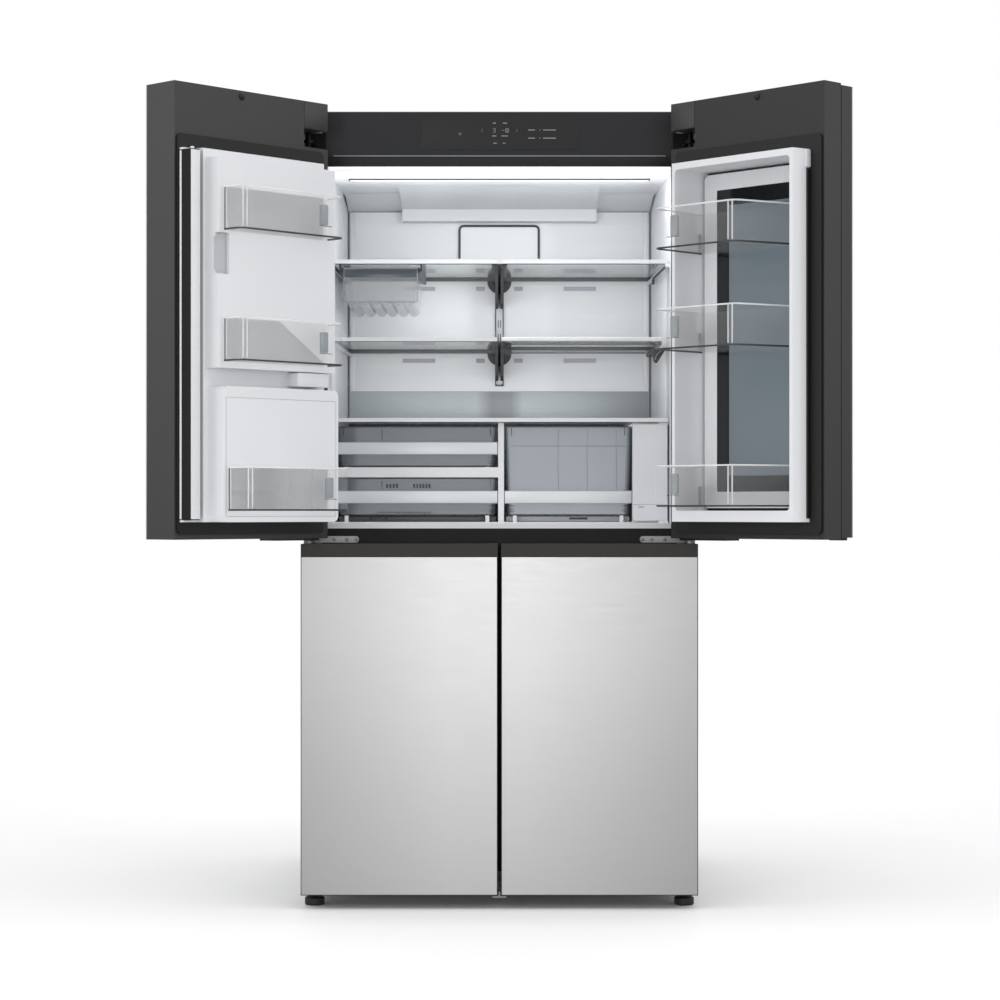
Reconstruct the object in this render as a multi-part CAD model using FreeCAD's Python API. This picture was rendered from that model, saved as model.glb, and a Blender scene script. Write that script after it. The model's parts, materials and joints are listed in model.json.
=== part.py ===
import FreeCAD, Part
import math
import os
from FreeCAD import Vector

# A four-door refrigerator: fridge above, freezer below, water and ice dispenser in the left door.
# Millimetres. X to the right, Y to the back, Z up. Pieces are drawn with Y = 0 on the closed doors'
# front and the doors are then swung open, as the refrigerator stands at rest.

# Overall
WIDTH = 914.0
DEPTH = 915.0
LOWER_DOOR_BOTTOM = 32.0
LOWER_DOOR_HEIGHT = 806.6
MIDDLE_GAP = 13.0
UPPER_DOOR_HEIGHT = 1000.0
CASE_BELOW_DOORS = 4.5
DOOR_THICKNESS = 98.0
DOOR_TO_CASE = 6.0
SIDE_REVEAL = 1.0
UPPER_DOOR_GAP = 4.0
LOWER_DOOR_GAP = 8.0
OPEN_ANGLE = 133.2
PIVOT_FROM_SIDE = 15.0
PIVOT_FROM_FRONT = 50.0

# Running clearances
SLIDE_CLEAR = 0.3
PIN_CLEAR = 0.05

# Cabinet walls
SHEET = 1.2
LINER = 2.0
WALL_FRONT = 45.0
WALL_BACK = 66.0
BACK_WALL = 155.0
CEILING_THICKNESS = 130.0
FLOOR_ABOVE_DOOR_BOTTOM = 34.0
BACK_PANEL_GAP = 22.0
BACK_PANEL_WALL = 3.0
LINER_CORNER = 18.0
BASE_BOTTOM = 30.0
BASE_HEIGHT = 20.0
BASE_SHEET = 2.0
RAIL_DEPTH = 26.0
LIP_HEIGHT = 12.0
FASCIA_DEPTH = 8.0
LIGHT_GROOVE = 2.0
LIGHT_GROOVE_DROP = 105.0
FREEZER_FLOOR = 75.0
FREEZER_TOP_DROP = 38.6
FREEZER_BACK_WALL = 275.0
FREEZER_DIVIDER = 60.0
FOAM_CLEAR = 0.2
MACHINE_HEIGHT = 280.0
MACHINE_WALL = 48.0

# Shelves in the fridge
SHELF_SET_BACK = 146.0
SHELF_CLEAR = 3.0
SHELF_MIDDLE = 6.0
GLASS = 4.0
TRIM_DEPTH = 14.0
TRIM_HEIGHT = 9.5
REAR_TRIM = 8.0
UPPER_SHELF_DROP = 201.0
LOWER_SHELF_LIFT = 3.5
COVER_RISE = 251.4
LEDGE_WIDTH = 10.0
LEDGE_HEIGHT = 8.0
SLIDING_DEPTH = 220.0
SLIDING_RUNNER = 10.0
BRACKET_WIDTH = 36.0
BRACKET_DROP = 71.0
BRACKET_ARM = 7.5
BRACKET_ARM_GAP = 6.0
RAIL_WIDTH = 22.0
RAIL_THICK = 10.0
RAIL_DROP = 93.0
HUB_RADIUS = 31.0

# Ceiling and back panels
LAMP_INSET = 30.0
LAMP_SET_BACK = 204.0
LAMP_DEPTH = 14.0
LAMP_DROP = 3.0
DUCT_HALF = 250.0
DUCT_LENGTH = 271.0
DUCT_SLOPE = 27.0
DUCT_LIP_DROP = 57.0
DUCT_LIP_DEPTH = 36.0
PANEL_TOP_DROP = 29.0
VENT_DROP = 27.0
VENT_SPANS = ((38.0, 60.0), (166.0, 250.0))
VENT_HEIGHT = 11.0
COVER_PLATE_HALF = 104.0
COVER_PLATE_RISE = 24.0
COVER_PLATE_DROP = 66.0
COVER_PLATE_THICK = 6.0
COVER_PLATE_ROUND = 10.0

# Crispers and the utility drawer
CRISPER_BACK_GAP = 22.0
CRISPER_WALL = 2.5
CRISPER_TAPER = 8.0
CRISPER_ROUND = 10.0
POST_LEFT = -3.0
POST_WIDTH = 14.0
FRAME_SHEET = 5.0
BAND_CLEAR = 1.5
CRISPER_SIDE_GAP = 2.0
RUNNER = 9.0
RUNNER_INSET = 24.0
LOWER_CRISPER_RISE = 18.0
LOWER_CRISPER_HEIGHT = 90.0
UPPER_CRISPER_RISE = 14.0
UPPER_CRISPER_HEIGHT = 97.0
MIDDLE_SHELF_RISE = 121.0
BAR_HEIGHT = 30.0
BAR_THICK = 9.0
BAR_RISE = 29.0
FILTER_BAY = 88.0
RIGHT_CRISPER_HEIGHT = 214.0
UTILITY_WALL_GAP = 20.4
UTILITY_WIDTH = 180.0
UTILITY_BACK_GAP = 104.0
UTILITY_HEIGHT = 80.0
UTILITY_SET_BACK = 12.0
UTILITY_DRAFT = 7.0
UTILITY_WAVES = 6
WAVE_DROP = 10.0
UTILITY_FLANGE = 5.0
UTILITY_RAIL = 4.0

# Water filter and its cover
FILTER_RADIUS = 29.0
FILTER_LENGTH = 240.0
FILTER_HEAD_LENGTH = 90.0
FILTER_HEAD_RADIUS = 20.0
FILTER_COVER_THICK = 4.0
FILTER_COVER_PIN = 1.5
FILTER_COVER_GAP = 3.0
FILTER_COVER_SET_BACK = 4.0
FILTER_EAR = 10.0

# Freezer drawers
DRAWER_ROWS = 3
DRAWER_SET_BACK = 86.0
DRAWER_SIDE_GAP = 10.0
DRAWER_BACK_GAP = 20.0
DRAWER_TOP_GAP = 24.0
DRAWER_HANDLE = 12.0
DRAWER_SHELF = 4.0

# Doors
DOOR_PANEL = 3.0
LINER_SIDE_INSET = 51.0
LINER_FREE_INSET = 37.0
LINER_TOP_INSET = 146.6
LINER_BOTTOM_INSET = 38.4
LINER_RISE = 42.0
LINER_DRAFT = 9.0
GASKET_THICK = 5.4
GASKET_WIDTH = 33.0
GASKET_FREE_WIDTH = 32.0
GASKET_BOTTOM_WIDTH = 27.0
NOTCH_WIDTH = 74.0
NOTCH_FRONT = 15.0
NOTCH_HEIGHT = 43.0
NOTCH_DROP = 61.6
BASKET_WALL = 2.5
BASKET_ROUND = 12.0
BASKET_HEIGHT = 95.0

# Left door: ice room, dispenser and fold-out mullion
ICE_COVER_SIDE_INSET = 3.4
ICE_COVER_FREE_INSET = 15.0
ICE_COVER_TOP_INSET = 20.0
ICE_COVER_ABOVE_BULGE = 40.0
ICE_COVER_THICK = 39.6
ICE_COVER_CLEAR = 0.4
ICE_COVER_PIVOT_IN = 6.6
ICE_COVER_DRAFT = 4.0
ICE_PIN_RADIUS = 3.0
ICE_PIN_LENGTH = 14.0
ICE_EAR = 5.0
ICE_ROOM_WALL = 26.0
ICE_ROOM_DEPTH = 78.0
ICE_TRAY_HEIGHT = 95.0
ICE_BIN_GAP = 18.0
ICE_UNIT_MARGIN = 8.0
ICE_BASKET_INSET = 24.0
ICE_BASKET_FREE_INSET = 16.0
ICE_BASKET_DEPTH = 58.0
ICE_BASKET_RISE = 14.0
ICE_BASKET_DROP = 160.0
LATCH_WIDTH = 34.0
LATCH_HEIGHT = 90.0
LATCH_DEPTH = 12.0
LATCH_RISE = 204.0
BULGE_SIDE_INSET = 4.0
BULGE_FREE_INSET = 21.0
BULGE_RISE = 52.0
BULGE_HEIGHT = 296.0
BULGE_ROUND = 14.0
LEFT_BASKET_INSET = 21.0
LEFT_BASKET_FREE_INSET = 12.0
LEFT_BASKET_DEPTH = 61.0
LEFT_BASKET_RISE = 25.0
MULLION_DEPTH = 39.0
MULLION_THICK = 26.0
MULLION_FREE_INSET = 9.0
MULLION_FACE_GAP = 0.8
MULLION_PIN = 2.5
MULLION_PIN_LENGTH = 16.0
MULLION_EAR = 4.0
MULLION_CORNER = 4.0
DISPENSER_SIDE = 130.0
DISPENSER_WIDTH = 190.0
DISPENSER_RISE = 70.0
DISPENSER_HEIGHT = 250.0
DISPENSER_DEPTH = 110.0
DISPENSER_WALL = 3.0
DISPENSER_PANEL_HEIGHT = 105.0
DISPENSER_PANEL_DEPTH = 8.0
DISPENSER_ROUND = 12.0
CHUTE_RADIUS = 32.0
CHUTE_LENGTH = 38.0
LEVER_WIDTH = 52.0
LEVER_LENGTH = 110.0
LEVER_THICK = 4.0
LEVER_PIVOT_DEPTH = 80.0
LEVER_PIN = 2.0
LEVER_EAR = 5.0
TRAY_HEIGHT = 14.0
TRAY_MARGIN = 8.0
TRAY_FRONT = 4.0
TRAY_SLATS = 9

# Right door: inner frame and the outer door on its own hinge
OUTER_THICKNESS = 39.0
OUTER_GAP = 2.0
OUTER_END_GAP = 4.0
OUTER_PIVOT_SIDE = 4.0
OUTER_PIVOT_FRONT = 6.0
OUTER_PIN = 2.0
OUTER_PIN_LENGTH = 20.0
OUTER_HINGE_PLATE = 3.2
OUTER_HINGE_WIDTH = 30.0
RIGHT_LINER_RISE = 52.0
RIGHT_LINER_WALL = 9.0
RIGHT_LINER_POST = 18.0
RIGHT_LINER_BOTTOM = 25.0
RIGHT_LINER_TOP = 15.0
PLUG_CLEAR = 6.0
PLUG_RISE = 17.0
PLUG_FRAME = 37.0
WINDOW_BORDER = 36.0
WINDOW_SET_BACK = 2.0
RIGHT_BASKET_GAP = 6.0
RIGHT_BASKET_BAR = 8.0
RIGHT_BASKET_REACH = 140.0
RIGHT_BASKET_RISES = (9.0, 361.0)
RIGHT_BASKET_TOP_DROP = 188.0
RIGHT_BASKET_SIDE = 18.0
RIGHT_BASKET_FREE_INSET = 81.0
RIGHT_BASKET_SLANT = 40.0
RIGHT_BASKET_HEIGHT = 92.0
BUTTON_WIDTH = 45.0
BUTTON_DEPTH = 22.0
BUTTON_HEIGHT = 11.0
BUTTON_SHOWS = 4.6
BUTTON_FREE_INSET = 14.0
BUTTON_FRONT = 10.0
BUTTON_TRAVEL = 4.0

# Lower doors
CAP_HEIGHT = 28.6
GRIP_WIDTH = 30.0
GRIP_DEPTH = 22.0
GRIP_FRONT = 25.0
GRIP_MARGIN = 40.0
LOWER_LINER_BOTTOM_INSET = 51.0
LOWER_LINER_TOP_INSET = 46.6
LOWER_GASKET_WIDTH = 27.0

# Hinges, feet and rollers
HINGE_ARM = 24.0
HINGE_FLANGE = 3.0
UPPER_ARM_THICK = 8.0
UPPER_PIN = 5.0
UPPER_PIN_INTO_DOOR = 22.0
UPPER_FLANGE_WIDTH = 48.0
UPPER_FLANGE_HEIGHT = 55.0
MIDDLE_FLANGE_WIDTH = 113.0
MIDDLE_FLANGE_HEIGHT = 15.0
MIDDLE_FLANGE_ROUND = 0.48
MIDDLE_ARM_THICK = 4.5
MIDDLE_ARM_RISE = 2.0
DOOR_PIN = 6.0
DOOR_PIN_LENGTH = 28.0
PIN_HOLE_SPARE = 3.0
STOP_PLATE_WIDTH = 139.0
STOP_PLATE_SIDE = 5.0
STOP_PLATE_DEPTH = 50.0
STOP_PLATE_THICK = 5.0
LOWER_PLATE = 4.0
LOWER_PLATE_DEPTH = 112.0
LOWER_PLATE_WIDTH = 48.0
CENTRE_STOP_WIDTH = 32.0
CENTRE_STOP_FRONT = 6.0
CENTRE_STOP_STEM = 12.0
CENTRE_STOP_RISE = 10.0
CENTRE_STOP_CLEAR = 2.0
FOOT_RADIUS = 23.0
FOOT_HEIGHT = 19.0
FOOT_ROUND = 4.0
FOOT_STEM = 8.0
FOOT_FROM_PIVOT_X = 12.0
FOOT_FROM_PIVOT_Y = 25.0
ROLLER_RADIUS = 18.0
ROLLER_WIDTH = 22.0
ROLLER_AXLE = 4.0
ROLLER_FROM_SIDE = 77.0
ROLLER_FROM_BACK = 60.0
ROLLER_EAR = 3.0

# Cooling machinery
COMPRESSOR_RADIUS = 85.0
COMPRESSOR_HEIGHT = 175.0
COMPRESSOR_X = -200.0
COMPRESSOR_FROM_BACK = 105.0
CONDENSER_LEFT = 60.0
CONDENSER_WIDTH = 170.0
CONDENSER_DEPTH = 120.0
CONDENSER_HEIGHT = 150.0
FIN_COUNT = 14
FIN = 1.5
TUBE_RADIUS = 4.0
FAN_RADIUS = 62.0
FAN_HUB = 17.0
FAN_DEPTH = 22.0
FAN_BLADES = 5
FAN_SHAFT = 3.0
FAN_GAP = 22.0
MOTOR_RADIUS = 24.0
MOTOR_LENGTH = 34.0
GRILLE_SLOTS = 9
GRILLE_SLOT_HEIGHT = 9.0
INLET_RADIUS = 3.2
INLET_LENGTH = 15.0
INLET_BLOCK = 22.0
EVAPORATOR_HEIGHT = 150.0
EVAPORATOR_RISE = 10.0
EVAPORATOR_WALL_GAP = 25.0
EVAPORATOR_DIVIDER_GAP = 40.0
FREEZER_PANEL_GAP = 50.0
FREEZER_PANEL = 3.0

# Places that follow from the sizes above
HALF = WIDTH / 2
CASE_FRONT = DOOR_THICKNESS + DOOR_TO_CASE
DOOR_OUT = HALF - SIDE_REVEAL
UPPER_WIDTH = DOOR_OUT - UPPER_DOOR_GAP / 2
LOWER_WIDTH = DOOR_OUT - LOWER_DOOR_GAP / 2
PIVOT_X = DOOR_OUT - PIVOT_FROM_SIDE
LOWER_DOOR_TOP = LOWER_DOOR_BOTTOM + LOWER_DOOR_HEIGHT
UPPER_DOOR_BOTTOM = LOWER_DOOR_TOP + MIDDLE_GAP
UPPER_DOOR_TOP = UPPER_DOOR_BOTTOM + UPPER_DOOR_HEIGHT
CASE_TOP = UPPER_DOOR_TOP - CASE_BELOW_DOORS
CASE_INSIDE_TOP = CASE_TOP - SHEET
FLOOR = UPPER_DOOR_BOTTOM + FLOOR_ABOVE_DOOR_BOTTOM
CEILING = CASE_TOP - CEILING_THICKNESS
BASE_TOP = BASE_BOTTOM + BASE_HEIGHT
LINER_BACK = DEPTH - BACK_WALL
CAVITY_BACK = LINER_BACK - LINER
MACHINE_TOP = BASE_TOP + MACHINE_HEIGHT
INNER_FRONT = HALF - WALL_FRONT
INNER_BACK = HALF - WALL_BACK
BACK_PANEL_FRONT = CAVITY_BACK - BACK_PANEL_GAP
SHELF_FRONT = CASE_FRONT + SHELF_SET_BACK
SHELF_BACK = BACK_PANEL_FRONT - RAIL_THICK
UPPER_SHELF_TOP = CEILING - UPPER_SHELF_DROP
COVER_TOP = FLOOR + COVER_RISE
LOWER_SHELF_TOP = (UPPER_SHELF_TOP + COVER_TOP) / 2 + LOWER_SHELF_LIFT
FREEZER_CEILING = LOWER_DOOR_TOP - FREEZER_TOP_DROP
FREEZER_HEIGHT = FREEZER_CEILING - FREEZER_FLOOR
FREEZER_BACK = DEPTH - FREEZER_BACK_WALL
FREEZER_PANEL_BACK = FREEZER_BACK - FREEZER_PANEL_GAP
OPENING_EDGE = INNER_FRONT + LINER
COVER_UNDER = COVER_TOP - GLASS
CRISPER_FRONT = SHELF_FRONT + TRIM_DEPTH
CRISPER_BACK = SHELF_BACK - CRISPER_BACK_GAP
FILTER_COVER_FRONT = SHELF_FRONT + FILTER_COVER_SET_BACK
UTILITY_FRONT = SHELF_FRONT + UTILITY_SET_BACK
UTILITY_DEPTH = SHELF_BACK - UTILITY_BACK_GAP - UTILITY_FRONT
DRAWER_FRONT = CASE_FRONT + DRAWER_SET_BACK
POST_RIGHT = POST_LEFT + POST_WIDTH
MIDDLE_SHELF_TOP = FLOOR + MIDDLE_SHELF_RISE
LINER_SIDE = LINER_SIDE_INSET
LINER_FREE = UPPER_WIDTH - LINER_FREE_INSET
LINER_BOTTOM = UPPER_DOOR_BOTTOM + LINER_BOTTOM_INSET
LINER_TOP = UPPER_DOOR_TOP - LINER_TOP_INSET
LINER_FACE = DOOR_THICKNESS + LINER_RISE
BULGE_FACE = LINER_FACE + BULGE_RISE
BULGE_SIDE = LINER_SIDE + BULGE_SIDE_INSET
BULGE_FREE = LINER_FREE - BULGE_FREE_INSET
BULGE_TOP = LINER_BOTTOM + BULGE_HEIGHT
LEFT_BASKET_SIDE = BULGE_SIDE + LEFT_BASKET_INSET
LEFT_BASKET_FREE = BULGE_FREE - LEFT_BASKET_FREE_INSET
LEFT_BASKET_BOTTOM = LINER_BOTTOM + LEFT_BASKET_RISE
DISPENSER_BOTTOM = LINER_BOTTOM + DISPENSER_RISE
NOTCH_TOP = UPPER_DOOR_TOP - NOTCH_DROP
NOTCH_BOTTOM = NOTCH_TOP - NOTCH_HEIGHT
ICE_COVER_BACK = LINER_FACE + ICE_COVER_CLEAR
ICE_COVER_FACE = ICE_COVER_BACK + ICE_COVER_THICK
ICE_COVER_SIDE = LINER_SIDE + ICE_COVER_SIDE_INSET
ICE_COVER_FREE = LINER_FREE - ICE_COVER_FREE_INSET
ICE_COVER_BOTTOM = BULGE_TOP + ICE_COVER_ABOVE_BULGE
ICE_COVER_TOP = LINER_TOP - ICE_COVER_TOP_INSET
ICE_BASKET_BOTTOMS = (ICE_COVER_BOTTOM + ICE_BASKET_RISE, ICE_COVER_TOP - ICE_BASKET_DROP)
ICE_PIVOT = (ICE_COVER_SIDE + ICE_COVER_PIVOT_IN, ICE_COVER_BACK + ICE_COVER_PIVOT_IN)
OUTER_BACK = OUTER_THICKNESS + OUTER_GAP
RIGHT_LINER_FACE = DOOR_THICKNESS + RIGHT_LINER_RISE
RING_SIDE = LINER_SIDE + RIGHT_LINER_WALL
RING_FREE = LINER_FREE - RIGHT_LINER_POST
RING_BOTTOM = LINER_BOTTOM + RIGHT_LINER_BOTTOM
RING_TOP = LINER_TOP - RIGHT_LINER_TOP
PLUG_FACE = OUTER_THICKNESS + PLUG_RISE
RIGHT_BASKET_BACK = PLUG_FACE + RIGHT_BASKET_GAP
RIGHT_BASKET_FRONT = DOOR_THICKNESS + RIGHT_BASKET_REACH
RIGHT_BASKET_BOTTOMS = [RING_BOTTOM + rise for rise in RIGHT_BASKET_RISES]
RIGHT_BASKET_BOTTOMS.append(RING_TOP - RIGHT_BASKET_TOP_DROP)
OUTER_BOTTOM = UPPER_DOOR_BOTTOM + OUTER_END_GAP
OUTER_TOP = UPPER_DOOR_TOP - OUTER_END_GAP
UPPER_ARM_BOTTOM = NOTCH_BOTTOM + (NOTCH_HEIGHT - UPPER_ARM_THICK) / 2
MIDDLE_ARM_BOTTOM = LOWER_DOOR_TOP + MIDDLE_ARM_RISE
MIDDLE_ARM_TOP = MIDDLE_ARM_BOTTOM + MIDDLE_ARM_THICK

# The folded mullion stands square to the door beside the liner, and its face meets the gasket plane
# when it has turned a quarter about its pin.
MULLION_BACK = UPPER_WIDTH - MULLION_FREE_INSET
MULLION_FOOT = DOOR_THICKNESS + GASKET_THICK + MULLION_FACE_GAP
MULLION_MIDDLE = MULLION_FOOT + MULLION_DEPTH / 2
MULLION_PIVOT = (
    (MULLION_FOOT + MULLION_BACK - MULLION_MIDDLE + DOOR_OUT) / 2,
    (MULLION_FOOT + MULLION_BACK + MULLION_MIDDLE - DOOR_OUT) / 2,
)
MULLION_BOTTOM = LINER_BOTTOM + MULLION_EAR + 2 * SLIDE_CLEAR
MULLION_TOP = LINER_TOP - MULLION_EAR - 2 * SLIDE_CLEAR

# The origin is under the middle of the box that the refrigerator fills with its upper doors open.
# The left door's basket reaches furthest to the front, with the middle of its round corner here.
SWING = math.radians(OPEN_ANGLE)
CORNER_ACROSS = LEFT_BASKET_FREE - BASKET_ROUND - PIVOT_FROM_SIDE
CORNER_OUT = BULGE_FACE + LEFT_BASKET_DEPTH - BASKET_ROUND - PIVOT_FROM_FRONT
CORNER_Y = PIVOT_FROM_FRONT - CORNER_ACROSS * math.sin(SWING) + CORNER_OUT * math.cos(SWING)
FRONT_REACH = CORNER_Y - BASKET_ROUND
ORIGIN_Y = (FRONT_REACH + DEPTH) / 2

nodes = {}


def block(x, y, z):
    """A box between low and high values on each axis."""
    return Part.makeBox(x[1] - x[0], y[1] - y[0], z[1] - z[0], Vector(x[0], y[0], z[0]))


def rod(radius, start, direction, length):
    """A round bar from a start point."""
    return Part.makeCylinder(radius, length, Vector(*start), Vector(*direction))


def polygon(points):
    """A closed wire through points in space."""
    corners = [Vector(*p) for p in points]
    return Part.makePolygon(corners + corners[:1])


def plan(points, z):
    """A prism on a plan outline of (x, y) points between two heights."""
    face = Part.Face(polygon([(px, py, z[0]) for px, py in points]))
    return face.extrude(Vector(0, 0, z[1] - z[0]))


def side_view(points, x):
    """A prism on an outline of (y, z) points between two X values."""
    face = Part.Face(polygon([(x[0], py, pz) for py, pz in points]))
    return face.extrude(Vector(x[1] - x[0], 0, 0))


def round_wire(a, b, radius, at):
    """A rectangle with round corners, where at(p, q) gives a point in space."""
    (a0, a1), (b0, b1) = a, b
    bulge = radius * (1 - math.sqrt(0.5))
    corners = [
        ((a1 - radius, b0), (a1 - bulge, b0 + bulge), (a1, b0 + radius)),
        ((a1, b1 - radius), (a1 - bulge, b1 - bulge), (a1 - radius, b1)),
        ((a0 + radius, b1), (a0 + bulge, b1 - bulge), (a0, b1 - radius)),
        ((a0, b0 + radius), (a0 + bulge, b0 + bulge), (a0 + radius, b0)),
    ]
    edges = []
    for number, (start, middle, end) in enumerate(corners):
        edges.append(Part.Arc(at(*start), at(*middle), at(*end)).toShape())
        following = corners[(number + 1) % len(corners)][0]
        edges.append(Part.makeLine(at(*end), at(*following)))
    return Part.Wire(edges)


def round_plan(x, y, z, radius):
    """A prism with upright round edges."""
    wire = round_wire(x, y, radius, lambda p, q: Vector(p, q, z[0]))
    return Part.Face(wire).extrude(Vector(0, 0, z[1] - z[0]))


def round_front(x, y, z, radius):
    """A prism with its round corners seen from the front."""
    wire = round_wire(x, z, radius, lambda p, q: Vector(p, y[0], q))
    return Part.Face(wire).extrude(Vector(0, y[1] - y[0], 0))


def join(*shapes):
    """One solid from touching solids."""
    return shapes[0].fuse(list(shapes[1:])).removeSplitter()


def group(*shapes):
    """Separate solids kept in one node."""
    return Part.Compound(list(shapes))


def mirrored(shape):
    """The same piece on the other side."""
    return shape.mirror(Vector(0, 0, 0), Vector(1, 0, 0))


def pair(shape):
    """A piece and its mirror image."""
    return group(shape, mirrored(shape))


def tub(x, y, z, wall, taper, radius):
    """An open box whose sides draw in towards the floor."""
    def at_height(height):
        return lambda p, q: Vector(p, q, height)

    def loft(inset, low, high):
        narrow = round_wire((x[0] + taper + inset, x[1] - taper - inset),
                            (y[0] + inset, y[1] - taper - inset),
                            radius, at_height(low))
        wide = round_wire((x[0] + inset, x[1] - inset), (y[0] + inset, y[1] - inset), radius,
                          at_height(high))
        return Part.makeLoft([narrow, wide], True, True)

    hollow = loft(wall, z[0] + wall, z[1])
    mouth = hollow.Faces[-1].BoundBox
    above = round_plan((x[0] + wall, x[1] - wall), (y[0] + wall, y[1] - wall),
                       (z[1], z[1] + mouth.XLength), radius)
    return loft(0, z[0], z[1]).cut(hollow).cut(above)


def half_at(y, extra=0.0):
    """Half the width between the side walls at a depth."""
    share = (y - CASE_FRONT) / (CAVITY_BACK - CASE_FRONT)
    return INNER_FRONT + (INNER_BACK - INNER_FRONT) * share + extra


def cavity(y, z, extra):
    """A prism between the side walls, which draw in towards the back."""
    front, back = half_at(y[0], extra), half_at(y[1], extra)
    return plan([(-front, y[0]), (front, y[0]), (back, y[1]), (-back, y[1])], z)


def left_of(x_in, y, z, extra):
    """A prism from the left wall in to a given X."""
    front, back = half_at(y[0], extra), half_at(y[1], extra)
    return plan([(-front, y[0]), (x_in, y[0]), (x_in, y[1]), (-back, y[1])], z)


def right_of(x_in, y, z, extra):
    """A prism from a given X out to the right wall."""
    return mirrored(left_of(-x_in, y, z, extra))


def swung(shape, open_door=True):
    """A left-door piece, drawn from the door's hinge side, put in its place on the cabinet."""
    placed = shape.translated(Vector(-DOOR_OUT, 0, 0))
    if open_door:
        placed.rotate(Vector(-PIVOT_X, PIVOT_FROM_FRONT, 0), Vector(0, 0, 1), -OPEN_ANGLE)
    return placed


def save(name, shape):
    """Move a finished piece to the origin and keep it under its name."""
    nodes[name] = shape.translated(Vector(0, -ORIGIN_Y, 0))


def make_case():
    side = block((-HALF, -HALF + SHEET), (CASE_FRONT + SHEET, DEPTH), (BASE_BOTTOM, CASE_INSIDE_TOP))
    flange = block((-HALF, -OPENING_EDGE), (CASE_FRONT, CASE_FRONT + SHEET),
                   (BASE_BOTTOM, CASE_INSIDE_TOP))
    top = block((-HALF, HALF), (CASE_FRONT, DEPTH), (CASE_INSIDE_TOP, CASE_TOP))
    save("outer_case", group(top, side, flange, mirrored(side), mirrored(flange)))

    inside = HALF - SHEET
    rear = block((-inside, inside), (DEPTH - SHEET, DEPTH), (MACHINE_TOP, CASE_INSIDE_TOP))
    grille = block((-inside, inside), (DEPTH - SHEET, DEPTH), (BASE_TOP, MACHINE_TOP))
    spacing = (MACHINE_TOP - BASE_TOP) / (GRILLE_SLOTS + 1)
    for number in range(GRILLE_SLOTS):
        middle = BASE_TOP + spacing * (number + 1)
        for low, high in ((-inside + spacing, -spacing / 2), (spacing / 2, inside - spacing)):
            slot = block((low, high), (DEPTH - 2 * SHEET, DEPTH + SHEET),
                         (middle - GRILLE_SLOT_HEIGHT / 2, middle + GRILLE_SLOT_HEIGHT / 2))
            grille = grille.cut(slot)
    inlet_x = -inside + 2 * spacing
    inlet_z = BASE_TOP + spacing / 2
    half = INLET_BLOCK / 2
    inlet = block((inlet_x - half, inlet_x + half), (DEPTH - INLET_BLOCK, DEPTH),
                  (inlet_z - half, inlet_z + half))
    hole = rod(INLET_RADIUS, (inlet_x, DEPTH - INLET_LENGTH, inlet_z), (0, 1, 0), INLET_LENGTH)
    save("rear_panels", group(rear, join(grille, inlet).cut(hole)))

    shell = block((-inside, inside), (CASE_FRONT + SHEET, DEPTH), (BASE_BOTTOM, BASE_TOP))
    hollow = block((-inside + BASE_SHEET, inside - BASE_SHEET),
                   (CASE_FRONT + SHEET + BASE_SHEET, DEPTH - BASE_SHEET),
                   (BASE_BOTTOM, BASE_TOP - BASE_SHEET))
    base = shell.cut(hollow)
    for roller_x in (-1, 1):
        middle = roller_x * (HALF - ROLLER_FROM_SIDE)
        for ear_side in (-1, 1):
            inner = middle + ear_side * (ROLLER_WIDTH / 2 + SLIDE_CLEAR)
            outer = inner + ear_side * ROLLER_EAR
            ear = block((min(inner, outer), max(inner, outer)),
                        (roller_y() - 2 * ROLLER_AXLE, roller_y() + 2 * ROLLER_AXLE),
                        (ROLLER_RADIUS - 2 * ROLLER_AXLE, BASE_TOP - BASE_SHEET))
            base = base.fuse(ear)
        hole = rod(ROLLER_AXLE + PIN_CLEAR, (middle - ROLLER_WIDTH, roller_y(), ROLLER_RADIUS),
                   (1, 0, 0), 2 * ROLLER_WIDTH)
        base = base.cut(hole)
    save("base_chassis", base.removeSplitter())


def roller_y():
    """How far back the rollers stand."""
    return DEPTH - ROLLER_FROM_BACK


def make_insulation():
    inside = HALF - SHEET
    start = CASE_FRONT + SHEET
    skin = LINER + FOAM_CLEAR
    wall = plan([(-inside, start), (-half_at(start, skin), start),
                 (-half_at(LINER_BACK, skin), LINER_BACK),
                 (-inside, LINER_BACK)], (BASE_TOP, CASE_INSIDE_TOP))
    rail_back = CASE_FRONT + RAIL_DEPTH
    freezer_end = FREEZER_BACK + LINER
    divider = FREEZER_DIVIDER / 2 - LINER - FOAM_CLEAR
    slabs = [
        wall,
        mirrored(wall),
        cavity((CASE_FRONT + FASCIA_DEPTH, LINER_BACK), (CEILING + LINER, CASE_INSIDE_TOP), LINER),
        block((-inside, inside), (LINER_BACK, DEPTH - SHEET), (MACHINE_TOP, CASE_INSIDE_TOP)),
        cavity((rail_back, LINER_BACK), (FREEZER_CEILING + LINER, FLOOR - LINER), LINER),
        cavity((freezer_end, LINER_BACK), (MACHINE_TOP, FREEZER_CEILING + LINER), LINER),
        cavity((freezer_end, freezer_end + MACHINE_WALL), (BASE_TOP, MACHINE_TOP), LINER),
        cavity((start, freezer_end), (BASE_TOP, FREEZER_FLOOR - LINER), LINER),
        block((-divider, divider), (rail_back, freezer_end),
              (FREEZER_FLOOR - LINER, FREEZER_CEILING + LINER)),
    ]
    save("insulation", group(*slabs))


def ledge(shelf_top, start):
    """A rib on the left wall that carries a shelf, from a given depth to the shelf's back."""
    front, back = half_at(start), half_at(SHELF_BACK)
    top = shelf_top - TRIM_HEIGHT
    return plan([(-front - LINER / 2, start), (-front + LEDGE_WIDTH, start),
                 (-back + LEDGE_WIDTH, SHELF_BACK),
                 (-back - LINER / 2, SHELF_BACK)], (top - LEDGE_HEIGHT, top))


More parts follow.
